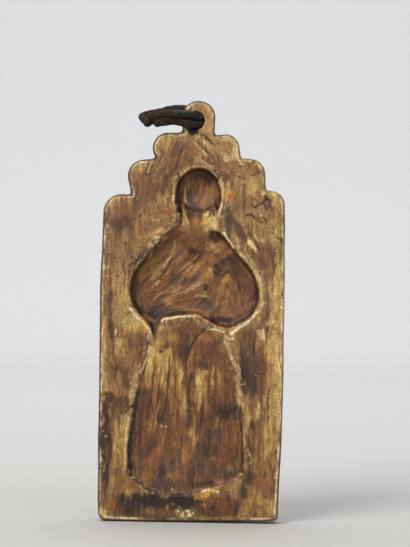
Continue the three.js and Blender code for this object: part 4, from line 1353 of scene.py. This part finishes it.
@dataclass(frozen=True)
class Painting:
    """The brushed glaze: washes by region, then dabs and marks laid over each other in order, some of them
    painted highlights and painted shade.
    """

    dabs: tuple = tuple(Dab(*row) for row in (
        *DABS_TOP, *DABS_LEFT, *DABS_RIGHT, *DABS_FIGURE, *DABS_SKIRT, *DABS_FOOT, *DABS_LIGHT, *STREAKS,
        *DABS_LAST))
    marks: tuple = tuple(Mark(*row) for row in MARKS)
    first_dab_seed: int = 200
    first_mark_seed: int = 400
    contrast: float = 1.13
    amber: tuple = (0.99, 0.955, 0.84)
    bust_lean: float = 48.0
    knee: tuple = (28, -158)
    wall_darkening: float = 0.6
    worn_and_lit_rims: tuple = (1.0, 0.95, 0.5)
    worn_edges: float = 0.95
    chipped: float = 0.6
    flecked: float = 0.35
    streaked: float = 0.27
    mottled: float = 0.2
    dusted: float = 0.14

    def lift(self, face: Face) -> Points:
        """Work out how far marks, beads and pits stand out of the clay.

        Args:
            face: where each place lies.

        Returns:
            The height at each place, millimetres.
        """
        height = np.zeros(len(face.x))
        for number, mark in enumerate(self.marks):
            if mark.height:
                reached, _, lifted = mark.cover(face.x, face.z, self.first_mark_seed + number)
                height[reached] += lifted
        for sign, spots in ((1, BEADS_AND_GLINTS), (-1, PITS)):
            for x, z, radius, tall in spots:
                near = ((face.x - x) ** 2 + (face.z - z) ** 2) / radius ** 2
                height += sign * tall * np.exp(-near ** 1.5)
        return height

    def flow(self, face: Face) -> tuple[Points, Points]:
        """Work out which way the brush went: upright on the field, fanned in the skirt, swirled in the bust.

        Args:
            face: where each place lies.

        Returns:
            How far across and how far along the brush's way each place lies, millimetres.
        """
        x, z = face.x, face.z
        lean, (knee_x, knee_z) = math.radians(self.bust_lean), self.knee
        wander = 2.6 * grain(x, z, 16, 24, 0, 91, 2)
        across = x + wander + 0.36 * np.clip(x / 15, -1, 1) * smooth_step(-60, -30, z) * (z + 45)
        beside = smooth_step(-16, -4, face.bust) * smooth_step(14, 24, np.abs(x)) * smooth_step(-158, -140, z)
        across += (np.sign(x) * (40 - face.bust) - across) * beside
        fan = (x + 3.5) * 40 / (29 + 0.155 * np.clip(-172 - z, -20, 120)) + 0.6 * wander
        across = np.where(face.skirt > 0, fan, across)
        left = x * math.cos(lean) - z * math.sin(lean) + wander
        ring = np.hypot((x - knee_x) / 0.52, z - knee_z) + 2 * wander
        right_side = smooth_step(4, 22, x) * smooth_step(-96, -112, z)
        swirl = left * (1 - right_side) + (60 + ring) * right_side
        swirl += (20 + face.bust - swirl) * smooth_step(9, 2, face.bust) * (1 - right_side)
        turned = x * math.sin(lean) + z * math.cos(lean)
        round_it = 18 * np.arctan2(x - knee_x, z - knee_z)
        along = np.where(face.bust > 0, turned * (1 - right_side) + round_it * right_side, z)
        return np.where(face.bust > 0, swirl, across), along

    def washes(self, face: Face) -> Points:
        """Lay the first colours: ochre on the field, darker in the hollows and at the foot.

        Args:
            face: where each place lies.

        Returns:
            (n, 3) linear colours.
        """
        x, z = face.x, face.z
        x = x + 3.0 * grain(x, z, 14, 20, 0, 81, 2)
        mix = np.clip(0.5 + 0.6 * grain(x, z, 7, 18, 0, 51, 4), 0, 1)
        colour = between(BROWN.linear(), TAN.linear(), mix)
        for inside, lower, upper, lean, seed in (
                (face.skirt, RUSSET, OCHRE, 2, 52), (face.neck, BROWN, TAN, 0, 53),
                (face.bust, RUSSET, OCHRE, 50, 54), (face.head, RUSSET, BROWN, 2, 55)):
            mix = np.clip(0.5 + 0.6 * grain(x, z, 3.2, 22, lean, seed, 4), 0, 1)
            soft = face.under_neck() if inside is face.bust else 0
            soft = 2 * smooth_step(-194, -178, z) if inside is face.skirt else soft
            part = smooth_step(-0.8 + 2 * soft, 1.2 + 11 * soft, inside)
            colour = between(colour, between(lower.linear(), upper.linear(), mix), part)
        return colour

    def lay_dabs(self, colour: Points, face: Face) -> None:
        """Lay the dabs one after the other, their outlines drifting a little.

        Args:
            colour: (n, 3) linear colours, changed in place.
            face: where each place lies.
        """
        x, z = face.x, face.z
        drift_x, drift_z = x + 0.9 * grain(x, z, 6, 8, 0, 74, 2), z + 1.8 * grain(x, z, 6, 8, 0, 75, 2)
        for number, dab in enumerate(self.dabs):
            reached, cover = dab.cover(drift_x, drift_z, self.first_dab_seed + number)
            lay(colour, dab.glaze, cover, reached)

    def darken_walls_and_pale_rims(self, colour: Points, face: Face, normals: Points, ragged: Points) -> None:
        """Darken the hollows' steep walls and a band just inside their rims with umber, and pale the rims
        with sand, partly as worn glaze and partly as a painted highlight.

        Args:
            colour: (n, 3) linear colours, changed in place.
            face: where each place lies.
            normals: (n, 3) surface normals.
            ragged: how far the wear has gone at each place.
        """
        bust, head, _ = face.hollows()
        steep = smooth_step(0.12, 0.7, 1 - np.abs(normals[:, 1])) * np.maximum(bust, head)
        steep *= (1 - face.below_head()) * (1 - face.under_neck())
        lay(colour, UMBER, self.wall_darkening * steep)
        # Each rim: umber just inside it, and sand on its crown, partly worn glaze and partly a painted
        # highlight.
        for (inside, rim), strength in zip(face.rims(), self.worn_and_lit_rims):
            lay(colour, UMBER, self.wall_darkening * rim * np.exp(-((inside - 1.8) / 1.2) ** 2))
            lay(colour, SAND, strength * rim * ragged * np.exp(-((inside + 0.4) / 0.6) ** 2))

    def brush_out(self, colour: Points, face: Face) -> None:
        """Streak the colours along the brush's way and mottle them, and warm the hollows and the foot.

        Args:
            colour: (n, 3) linear colours, changed in place.
            face: where each place lies.
        """
        x, z = face.x, face.z
        bust, head, skirt = face.hollows()
        wx = x + 3.0 * grain(x, z, 14, 20, 0, 71, 2) + 0.9 * grain(x, z, 5, 6, 0, 72, 2)
        wz = z + 5.0 * grain(x, z, 16, 16, 0, 73, 2)
        across, along = self.flow(face)
        brushed = 0.97 + 0.1 * bust + 0.14 * head - 0.01 * skirt
        brushed += self.streaked * grain(across, along, 2.4, 22, 0, 58, 3)
        brushed += (self.mottled * grain(wx, wz, 5, 7, 12, 64, 4)
                    + self.dusted * grain(wx, wz, 2.6, 3.0, 0, 61, 2))
        colour *= np.clip(brushed, 0.45, 1.6)[:, None]
        colour *= 1 - np.maximum(np.maximum(bust, head), 0.7 * skirt)[:, None] * np.array((-0.02, 0.05, 0.2))
        colour *= 1 - smooth_step(-150, -200, z)[:, None] * np.array((0.0, 0.01, 0.07))

    def chip(self, colour: Points, face: Face) -> None:
        """Chip the glaze pale near rims and edges, and fleck it dark all over.

        Args:
            colour: (n, 3) linear colours, changed in place.
            face: where each place lies.
        """
        x, z = face.x, face.z
        bust, head, _ = face.hollows()
        near_rim = sum(rim * np.exp(-((inside + 2) / 5) ** 2) for inside, rim in face.rims())
        near_rim = np.clip(near_rim + np.exp(-((face.edge - 3) / 3) ** 2), 0, 1) * (1 - bust) * (1 - head)
        chips = smooth_step(0.5, 0.8, grain(x, z, 1.5, 2.2, 0, 65, 1))
        lay(colour, SAND, self.chipped * near_rim * smooth_step(-296, -286, z) * chips)
        lay(colour, UMBER, self.flecked * smooth_step(0.8, 0.95, grain(x, z, 1.5, 2.6, 0, 67, 1)))

    def draw_marks(self, colour: Points, face: Face) -> None:
        """Draw the marks, and the beads with a cream centre, partly a painted highlight, and a dark ring of
        painted shadow round each.

        Args:
            colour: (n, 3) linear colours, changed in place.
            face: where each place lies.
        """
        for number, mark in enumerate(self.marks):
            reached, cover, _ = mark.cover(face.x, face.z, self.first_mark_seed + number)
            lay(colour, mark.glaze, cover, reached)
        for x, z, radius, _ in BEADS_AND_GLINTS:
            # A cream centre, partly a painted highlight, and a dark ring of painted shadow round each bead.
            near = ((face.x - x) ** 2 + (face.z - z) ** 2) / (0.72 * radius) ** 2
            lay(colour, CREAM, 0.7 * np.exp(-near))
            lay(colour, UMBER, 0.45 * np.exp(-(np.sqrt(near) - 1.9) ** 2 * 4))

    def edges(self, colour: Points, face: Face, sunk: Points, ragged: Points) -> Points:
        """Wear the arrises pale, darken the rounded edges and the sides with their dark glaze and painted
        shade, and give the back its plainer glaze.

        Args:
            colour: (n, 3) linear colours.
            face: where each place lies.
            sunk: how far behind the front plane each place is, millimetres.
            ragged: how far the wear has gone at each place.

        Returns:
            (n, 3) linear colours.
        """
        x, z = face.x, face.z
        bust, head, skirt = face.hollows()
        hollow = np.maximum(bust, np.maximum(head, skirt))
        worn = self.worn_edges * ragged * np.exp(-((face.edge - 2.0) / 0.65) ** 2)
        worn = worn * smooth_step(2.5, 1.2, sunk) * (1 - hollow)
        low = smooth_step(-312, -318, z)
        worn *= 1 - 0.7 * low * smooth_step(-34, -26, x) * smooth_step(46, 38, x)
        lay(colour, CREAM, np.minimum(worn, 0.85))
        # The rounded edge and the sides go dark, partly their own dark glaze and partly painted shade as they
        # turn away, less so on the brighter upper right side.
        bright = smooth_step(16, 40, x) * smooth_step(-264, -250, z) * smooth_step(2.5, 1.6, sunk)
        side = UMBER.linear() * (1 + 0.35 * grain(x, z, 9, 9, 0, 62, 3))[:, None]
        lay(side, BROWN, 0.25 + 0.25 * low)
        colour = between(colour, side, smooth_step(1.8, 0.9, face.edge) * (1 - 0.75 * bright))
        mix = np.clip(0.5 + 0.5 * grain(x, z, 7, 40, 3, 63, 4), 0, 1)
        return between(colour, between(BROWN.linear(), OCHRE.linear(), mix), smooth_step(18.2, 19.2, sunk))

    def colours(self, face: Face, sunk: Points, normals: Points) -> Points:
        """Lay all the glaze on.

        Args:
            face: where each place lies.
            sunk: how far behind the front plane each place is, millimetres.
            normals: (n, 3) surface normals.

        Returns:
            (n, 3) linear colours.
        """
        ragged = np.clip(0.35 + 0.8 * grain(face.x, face.z, 4, 6, 0, 57, 3), 0, 1)
        colour = self.washes(face)
        self.lay_dabs(colour, face)
        self.darken_walls_and_pale_rims(colour, face, normals, ragged)
        self.brush_out(colour, face)
        self.chip(colour, face)
        self.draw_marks(colour, face)
        colour = self.edges(colour, face, sunk, ragged)
        middle = OCHRE.linear()
        return np.clip(middle * (colour / middle) ** self.contrast * np.array(self.amber), 0.004, 0.95)


@dataclass(frozen=True)
class GlazeFinish:
    """Lead-glazed earthenware, brushed and wiped by hand: streaky ochre over umber, satin with few glints."""

    fine_mottle: float = 1.3
    speckle: float = 1.1
    brush_width: float = 0.9
    brush_draw: float = 0.07
    scratch_apart: float = 5.0
    scratched_patch: float = 9.0
    bump: float = 0.4
    ior: float = 1.52

    def material(self) -> bpy.types.Material:
        """Make the glaze, which reads the colour and the brush's way stored on the mesh.

        Returns:
            The material.
        """
        material, tree, shader = new_material("brushed_ochre_glaze")
        place = add_node(tree, "ShaderNodeTexCoord").outputs["Object"]
        way = add_node(tree, "ShaderNodeAttribute", attribute_name="brush").outputs["Vector"]
        drawn = add_node(tree, "ShaderNodeMapping", {"Vector": way, "Scale": (1.0, self.brush_draw, 1.0)})
        drawn = drawn.outputs["Vector"]
        colour = add_node(tree, "ShaderNodeAttribute", attribute_name="glaze").outputs["Color"]
        hairs = add_noise(tree, drawn, self.brush_width, 3.0, 0.6)
        both = add_maths(tree, "ADD", add_noise(tree, place, self.fine_mottle, 3.0, 0.6), hairs)
        shade = add_range(tree, both, 0.72, 1.28, 0.57, 1.43)
        dust = add_range(tree, add_noise(tree, place, self.speckle, 1.0), 0.32, 0.68, 0.76, 1.24)
        crest = add_maths(tree, "ADD", add_range(tree, hairs, 0.58, 0.74, 0.0, 0.55), 1.0)
        for tone in (shade, dust, crest):
            colour = add_mix(tree, 1.0, colour, tone, "MULTIPLY")
        # Thin dark lines the bristles scratched, broken off here and there.
        level = add_maths(tree, "SUBTRACT", add_noise(tree, drawn, self.scratch_apart, 2.0), 0.5)
        line = add_range(tree, add_maths(tree, "ABSOLUTE", level), 0.004, 0.022, 1.0, 0.0)
        where = add_range(tree, add_noise(tree, place, self.scratched_patch, 2.0), 0.45, 0.62, 0.0, 0.62)
        colour = add_mix(tree, add_maths(tree, "MULTIPLY", line, where), colour, linear(UMBER.value))
        gloss = add_range(tree, both, 0.6, 1.4, 0.42, 0.64)
        finish_shader(tree, shader, colour, gloss, both, self.bump)
        shader.inputs["IOR"].default_value = self.ior
        return material


@dataclass
class HangingCord:
    """The twisted cord, wound twice through the hole, its cut ends facing each other in front."""

    diameter: float = 6.0
    plies: int = 9
    lay: float = 32.0
    around: int = 96
    step: float = 0.55
    full: float = 3.45
    widest: float = 5.6
    ply_depth: float = 0.3
    rubbed_away: float = 0.85
    blunt_end: float = 1.2
    hole_radius: float = 7.1
    hole_middle: float = -10.0
    front: float = -14.0
    upper_rub: tuple = (-6.0, 3.5)
    lower_rub_and_shade: tuple = (1.0, -3.3)
    route: tuple = (
        (-33.4, -24.6, -3.3), (-28, -24.6, -2.5), (-24, -23.8, -1.6), (-20, -22.2, -0.6), (-16, -21.5, -0.1),
        (-12.6, -22.8, -1.4), (-9, -23.9, -2.8), (-5.2, -22.6, -3.4), (-1.4, -19.6, -3.3), (1.4, -15, -3.15),
        (2.3, -10, -3.15), (1.5, -5, -3.1), (-1.6, -0.4, -2.6), (-5.8, 2.9, -1.4), (-11, 4.7, 0.2),
        (-17, 4.9, 1.2), (-23, 4.8, 1.2), (-28.1, 3.9, 0.7), (-32.5, 1.3, 0.4), (-35.8, -2.6, 0.7),
        (-37.6, -7.4, 1.3), (-37.6, -12.6, 1.9), (-35.8, -17.4, 2.7), (-32.5, -21.3, 3.4),
        (-28.1, -23.9, 3.9),
        (-23, -24.8, 4.2), (-16, -24.9, 4.3), (-10.5, -24.5, 4), (-5.2, -22.6, 3.5), (-1.4, -19.6, 3.2),
        (1.4, -15, 3.15), (2.3, -10, 3.15), (1.5, -5, 3.2), (-1, -0.4, 4.2), (-4.4, 2.9, 7.2),
        (-9.4, 4.7, 10.8), (-15.5, 5.1, 11.2), (-22, 5.1, 10.2), (-28.5, 4.8, 8.4), (-34.4, 3.7, 7),
        (-39, 1, 5.6), (-42.2, -2.9, 4.4), (-43.6, -7.4, 3.2), (-43.2, -12, 1.8), (-41.4, -16, 0),
        (-39.4, -18.8, -2), (-38.2, -20.4, -4.6),
    )

    def centre_line(self) -> Points:
        """Draw the route as a smooth line.

        Returns:
            (n, 3) evenly spaced points, millimetres.
        """
        row = np.array(self.route, float)
        row = np.vstack([2 * row[0] - row[1], row, 2 * row[-1] - row[-2]])
        line = np.vstack([*spline(row, 24), row[-2:-1]])
        run = run_along(line)
        even = np.linspace(0, run[-1], int(run[-1] / self.step) + 1)
        return np.stack([np.interp(even, run, line[:, k]) for k in range(3)], 1)

    def sideways(self, line: Points) -> tuple[Points, Points]:
        """Work out two directions square to the line and to each other, without twist from point to point.

        Args:
            line: (n, 3) points.

        Returns:
            The two unit directions at each point.
        """
        ahead = np.gradient(line, axis=0)
        ahead /= np.linalg.norm(ahead, axis=1)[:, None]
        side = np.cross(ahead[0], (0, 0, 1.0))
        sides = []
        for direction in ahead:
            side = side - direction * side.dot(direction)
            side /= np.linalg.norm(side)
            sides.append(side)
        sides = np.array(sides)
        return sides, np.cross(ahead, sides)

    def tube(self, line: Points, run: Points, sides: Points, ups: Points) -> bpy.types.Object:
        """Wrap a grid round the line as the twisted cord, and close its cut ends.

        Args:
            line: (n, 3) points of the centre line, millimetres.
            run: how far along it each point lies, millimetres.
            sides: one direction square to it at each point.
            ups: the other direction.

        Returns:
            The cord, without a material.
        """
        shape = bmesh.new()
        columns, rows = self.around, len(line) - 1
        bmesh.ops.create_grid(shape, x_segments=columns, y_segments=rows, size=1.0)
        for vertex in shape.verts:
            column = round((vertex.co.x + 1) / 2 * columns)
            step = round((vertex.co.y + 1) / 2 * rows)
            turn = 2 * math.pi * column / columns
            out = sides[step] * math.cos(turn) + ups[step] * math.sin(turn)
            radius = self.radius(turn, run[step], run[-1], line[step]) * self.squeeze(line[step], out)
            vertex.co = Vector((line[step] + out * min(radius, self.widest)) * MM)
        bmesh.ops.remove_doubles(shape, verts=shape.verts, dist=1e-6)
        ends = [e for e in shape.edges if e.is_boundary]
        caps = bmesh.ops.holes_fill(shape, edges=ends, sides=0)["faces"]
        bmesh.ops.inset_region(shape, faces=caps, thickness=0.0012, depth=0.0006)
        bmesh.ops.recalc_face_normals(shape, faces=shape.faces)
        cord = new_object("twisted_cord", shape)
        shade_smooth(cord.data)
        return cord

    def build(self) -> bpy.types.Object:
        """Returns:
            The cord.
        """
        line = self.centre_line()
        run = run_along(line)
        sides, ups = self.sideways(line)
        cord = self.tube(line, run, sides, ups)
        self.store_twist(cord.data, line, run, sides, ups)
        cord.data.materials.append(CordFinish().material())
        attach(cord, "root")
        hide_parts("hanging_cord")
        LOG.info("the cord is %.1f mm long", run[-1])
        return cord

    def smoothness(self, place: Points) -> float:
        """Work out how far the plies are worn smooth, which also sets where the lower strand is painted dark
        as shade at the hole.

        Args:
            place: a point of the centre line, millimetres.

        Returns:
            1 where the cord rubs the hole in front, down to 0 away from it.
        """
        x, y, z = place
        rub = 1 - clamped((math.hypot(x - self.upper_rub[0], z - self.upper_rub[1]) - 9) / 6)
        # Where the lower strand sinks into the hole in front it is worn smooth and also painted dark as
        # shade.
        if y < self.front and z < 0.5:
            return 1 - clamped((math.hypot(x - self.lower_rub_and_shade[0], z - self.lower_rub_and_shade[1]) - 6.5) / 4)
        return rub if y < self.front else 0.25 * rub

    def squeeze(self, place: Points, out: Points) -> float:
        """Work out how much wider the cord is where it is pressed against the hole's right wall.

        Args:
            place: a point of the centre line, millimetres.
            out: the direction from it to the cord's surface.

        Returns:
            How many times wider it is, 1 outside the hole.
        """
        x, y, z = place
        inside = clamped((8.5 - abs(y - self.hole_middle)) / 3) if math.hypot(x, z) < 6 else 0
        if not inside or out[0] <= 0:
            return 1.0
        towards = x * out[0] + z * out[2]
        wall = math.sqrt(max(towards ** 2 + self.hole_radius ** 2 - x ** 2 - z ** 2, 0)) - towards
        other = abs(z) / max(-out[2] * math.copysign(1, z), 1e-3)
        return 1 + inside * max(min(wall, other) / self.full - 1, 0)

    def radius(self, turn: float, at: float, total: float, place: Points) -> float:
        """Work out the cord's radius, with its plies, its unevenness and its blunt ends.

        Args:
            turn: the angle round it, radians.
            at: how far along it, millimetres.
            total: its whole length, millimetres.
            place: the point of the centre line, millimetres.

        Returns:
            The radius, millimetres.
        """
        smooth = self.smoothness(place)
        phase = self.plies / 2 * (turn - 2 * math.pi * at / self.lay)
        depth = self.ply_depth * (1 - self.rubbed_away * smooth)
        ridge = 1 - depth + depth * abs(math.sin(phase)) ** 0.6
        uneven = 1 + 0.035 * math.sin(at * 0.9) + 0.03 * math.sin(at * 0.37 + 2 * turn)
        end = min(at, total - at)
        blunt = 1 - 0.25 * max(0, 1 - end / self.blunt_end) ** 2
        return self.full * ridge * uneven * blunt * (1 + 0.1 * smooth)

    def store_twist(self, mesh: bpy.types.Mesh, line: Points, run: Points, sides: Points,
                    ups: Points) -> None:
        """Store on the mesh how deep each place lies between the plies, which the finish paints as shade and
        highlight, and how worn it is, which also carries the lower strand's painted shade at the hole.

        Args:
            mesh: the cord's mesh.
            line: (n, 3) points of the centre line, millimetres.
            run: how far along it each point lies, millimetres.
            sides: one direction square to it at each point.
            ups: the other direction.
        """
        places, block = places_of(mesh) / MM, 2000
        groove, worn = np.empty(len(places)), np.empty(len(places))
        smooth = np.array([self.smoothness(place) for place in line])
        for first in range(0, len(places), block):
            some = places[first:first + block]
            nearest = np.argmin(((some[:, None] - line[None]) ** 2).sum(2), axis=1)
            apart = some - line[nearest]
            turn = np.arctan2((apart * ups[nearest]).sum(1), (apart * sides[nearest]).sum(1))
            phase = self.plies / 2 * (turn - 2 * math.pi * run[nearest] / self.lay)
            groove[first:first + block] = 1 - np.abs(np.sin(phase))
            worn[first:first + block] = smooth[nearest]
        set_attribute(mesh, "groove", groove)
        set_attribute(mesh, "worn", worn)


@dataclass(frozen=True)
class CordFinish:
    """Old twisted cord, dark with grease: brown-black between the plies as painted shade, reddish brown on
    their crests as painted highlight.
    """

    fibre: float = 1.4
    grease_patch: float = 5.0
    # Colours from deep between the plies to their crests: the dark end is painted shade, the pale end a
    # painted highlight.
    plies: tuple = ((0.0, "#060403"), (0.5, "#120c09"), (0.74, "#251811"), (1.0, "#64452f"))
    grease: tuple = ((0.35, "#0f0d0c"), (0.7, "#262320"))
    bump: float = 0.5
    sheen: float = 0.25

    def material(self) -> bpy.types.Material:
        """Make the cord's surface, with painted shade between the plies and painted highlights on their
        crests, dull and dark where its mesh says that it is worn and where it holds the painted shade at the
        hole.

        Returns:
            The material.
        """
        material, tree, shader = new_material("greasy_twisted_cord")
        place = add_node(tree, "ShaderNodeTexCoord").outputs["Object"]
        groove = add_node(tree, "ShaderNodeAttribute", attribute_name="groove").outputs["Fac"]
        worn = add_node(tree, "ShaderNodeAttribute", attribute_name="worn").outputs["Fac"]
        fibres = add_noise(tree, place, self.fibre, 4.0, 0.65)
        # Crests lit and grooves shaded: a painted highlight and painted shade across each ply.
        lit_ply_crests = add_range(tree, add_maths(tree, "SUBTRACT", groove, fibres), 0.45, -0.6)
        # Worn places turn dull and dark; on the lower strand at the hole this darkening is painted shade.
        dull = ramp(tree, add_noise(tree, place, self.grease_patch, 2.0), self.grease)
        colour = add_mix(tree, worn, ramp(tree, lit_ply_crests, self.plies), dull)
        gloss = add_range(tree, worn, 0.0, 1.0, 0.7, 0.4)
        finish_shader(tree, shader, colour, gloss, fibres, self.bump)
        shader.inputs["Specular IOR Level"].default_value = self.sheen
        return material


@dataclass(frozen=True)
class Lamp:
    """One square soft lamp: its place and side in metres, its power in watts and what it faces."""

    name: str
    place: tuple
    side: float
    watts: float
    colour: str
    aim: tuple | None = None

    def hang(self, middle: tuple) -> None:
        """Hang the lamp.

        Args:
            middle: what it faces if it has no aim of its own, metres.
        """
        data = bpy.data.lights.new(self.name, "AREA")
        data.size, data.energy, data.color = self.side, self.watts, linear(self.colour)[:3]
        lamp = bpy.data.objects.new(self.name, data)
        bpy.context.collection.objects.link(lamp)
        towards = (Vector(self.aim or middle) - Vector(self.place)).to_track_quat("-Z", "Y")
        lamp.matrix_world = Matrix.Translation(self.place) @ towards.to_matrix().to_4x4()


@dataclass
class Studio:
    """A pale round sweep, soft lamps and the camera."""

    floor_z: float = -326.4
    sweep_radius: float = 3200.0
    sweep_height: float = 3000.0
    sweep_round: float = 900.0
    sweep_sides: int = 96
    distance: float = 1500.0
    aim: tuple = (9.54, -20.0, -124.0)
    photo_mm_per_pixel: float = 0.8105
    roll: float = 1.04
    sensor: float = 36.0
    lamps: tuple = (
        Lamp("key_softbox", (-1.2, -1.6, 1.5), 1.2, 53, "#fffdf8"),
        Lamp("fill_softbox", (1.5, -1.6, 0.3), 1.4, 10, "#f4f8ff"),
        Lamp("top_softbox", (0.0, -0.2, 2.2), 2.2, 12, "#ffffff"),
        Lamp("backdrop_softbox", (0.0, 0.9, 2.2), 2.0, 32, "#ffffff", (0.0, 3.1, -0.8)),
    )
    air: str = "#eef1f5"
    air_strength: float = 0.4

    def camera(self) -> bpy.types.Object:
        """Place the camera square to the plaque, rolled a little as the photograph is.

        Returns:
            The camera.
        """
        data = bpy.data.cameras.new("camera")
        data.sensor_width = self.sensor
        data.lens = self.sensor * self.distance / (PHOTO_HEIGHT * self.photo_mm_per_pixel)
        camera = bpy.data.objects.new("camera", data)
        bpy.context.collection.objects.link(camera)
        x, y, z = self.aim
        upright = Matrix.Rotation(math.pi / 2, 4, "X") @ Matrix.Rotation(math.radians(self.roll), 4, "Z")
        camera.matrix_world = Matrix.Translation((x * MM, (y - self.distance) * MM, z * MM)) @ upright
        bpy.context.scene.camera = camera
        return camera

    def sweep(self) -> bpy.types.Object:
        """Build the floor and its rounded wall as one turned surface.

        Returns:
            The sweep.
        """
        shape = bmesh.new()
        height, radius, corner = self.sweep_height, self.sweep_radius, self.sweep_round
        turns = np.radians(np.linspace(-90, 0, 16))
        bend = [(radius - corner + corner * math.cos(t), corner + corner * math.sin(t)) for t in turns]
        profile = [(0.0, 0.0), *bend, (radius, height)]
        row = [shape.verts.new((r * MM, 0, (self.floor_z + h) * MM)) for r, h in profile]
        edges = [shape.edges.new(pair) for pair in zip(row, row[1:])]
        bmesh.ops.spin(shape, geom=row + edges, cent=(0, 0, 0), axis=(0, 0, 1), angle=2 * math.pi,
                       steps=self.sweep_sides, use_merge=True)
        bmesh.ops.remove_doubles(shape, verts=shape.verts, dist=1e-5)
        bmesh.ops.recalc_face_normals(shape, faces=shape.faces)
        floor = new_object("studio_sweep", shape)
        shade_smooth(floor.data)
        floor.data.materials.append(self.paper())
        return floor

    def paper(self) -> bpy.types.Material:
        """Make the sweep's matt paper: grey behind the camera, grey near the plaque as a painted shade on the
        floor, paler away from it and up the wall.

        Returns:
            The material.
        """
        material, tree, shader = new_material("matt_pale_paper")
        place = add_node(tree, "ShaderNodeTexCoord").outputs["Object"]
        parts = add_node(tree, "ShaderNodeSeparateXYZ", {"Vector": place}).outputs
        rise, away = add_range(tree, parts["Z"], -0.3, 0.1), add_range(tree, parts["Y"], 0.0, 2.6)
        back = add_range(tree, parts["Y"], -2.6, -0.8)
        # The floor is grey near the plaque and in front of it as a painted shade, and paler farther back.
        shaded_floor = ramp(tree, away, [(0.0, "#bcbab7"), (0.5, "#d2d1d0"), (1.0, "#e2e3e4")])
        pale = add_mix(tree, rise, shaded_floor, linear("#dfe0e2"))
        tree.links.new(add_mix(tree, back, linear("#77787a"), pale), shader.inputs["Base Color"])
        shader.inputs["Roughness"].default_value = 0.9
        return material

    def build(self) -> None:
        """Set up the whole studio."""
        self.camera()
        self.sweep()
        for lamp in self.lamps:
            lamp.hang(tuple(part * MM for part in self.aim))
        world = bpy.data.worlds.new("studio_air")
        world.use_nodes = True
        background = world.node_tree.nodes["Background"].inputs
        background["Color"].default_value = linear(self.air)
        background["Strength"].default_value = self.air_strength
        bpy.context.scene.world = world
        bpy.context.scene.view_settings.view_transform = "Standard"


def main() -> None:
    """Build the studio, the cord and the plaque, and log each piece's number of faces."""
    logging.basicConfig(level=logging.INFO, format="%(name)s: %(message)s")
    Studio().build()
    for maker in (HangingCord(), Plaque()):
        piece = maker.build()
        LOG.info("%s: %d faces", piece.name, len(piece.data.polygons))


if __name__ == "__main__":
    main()
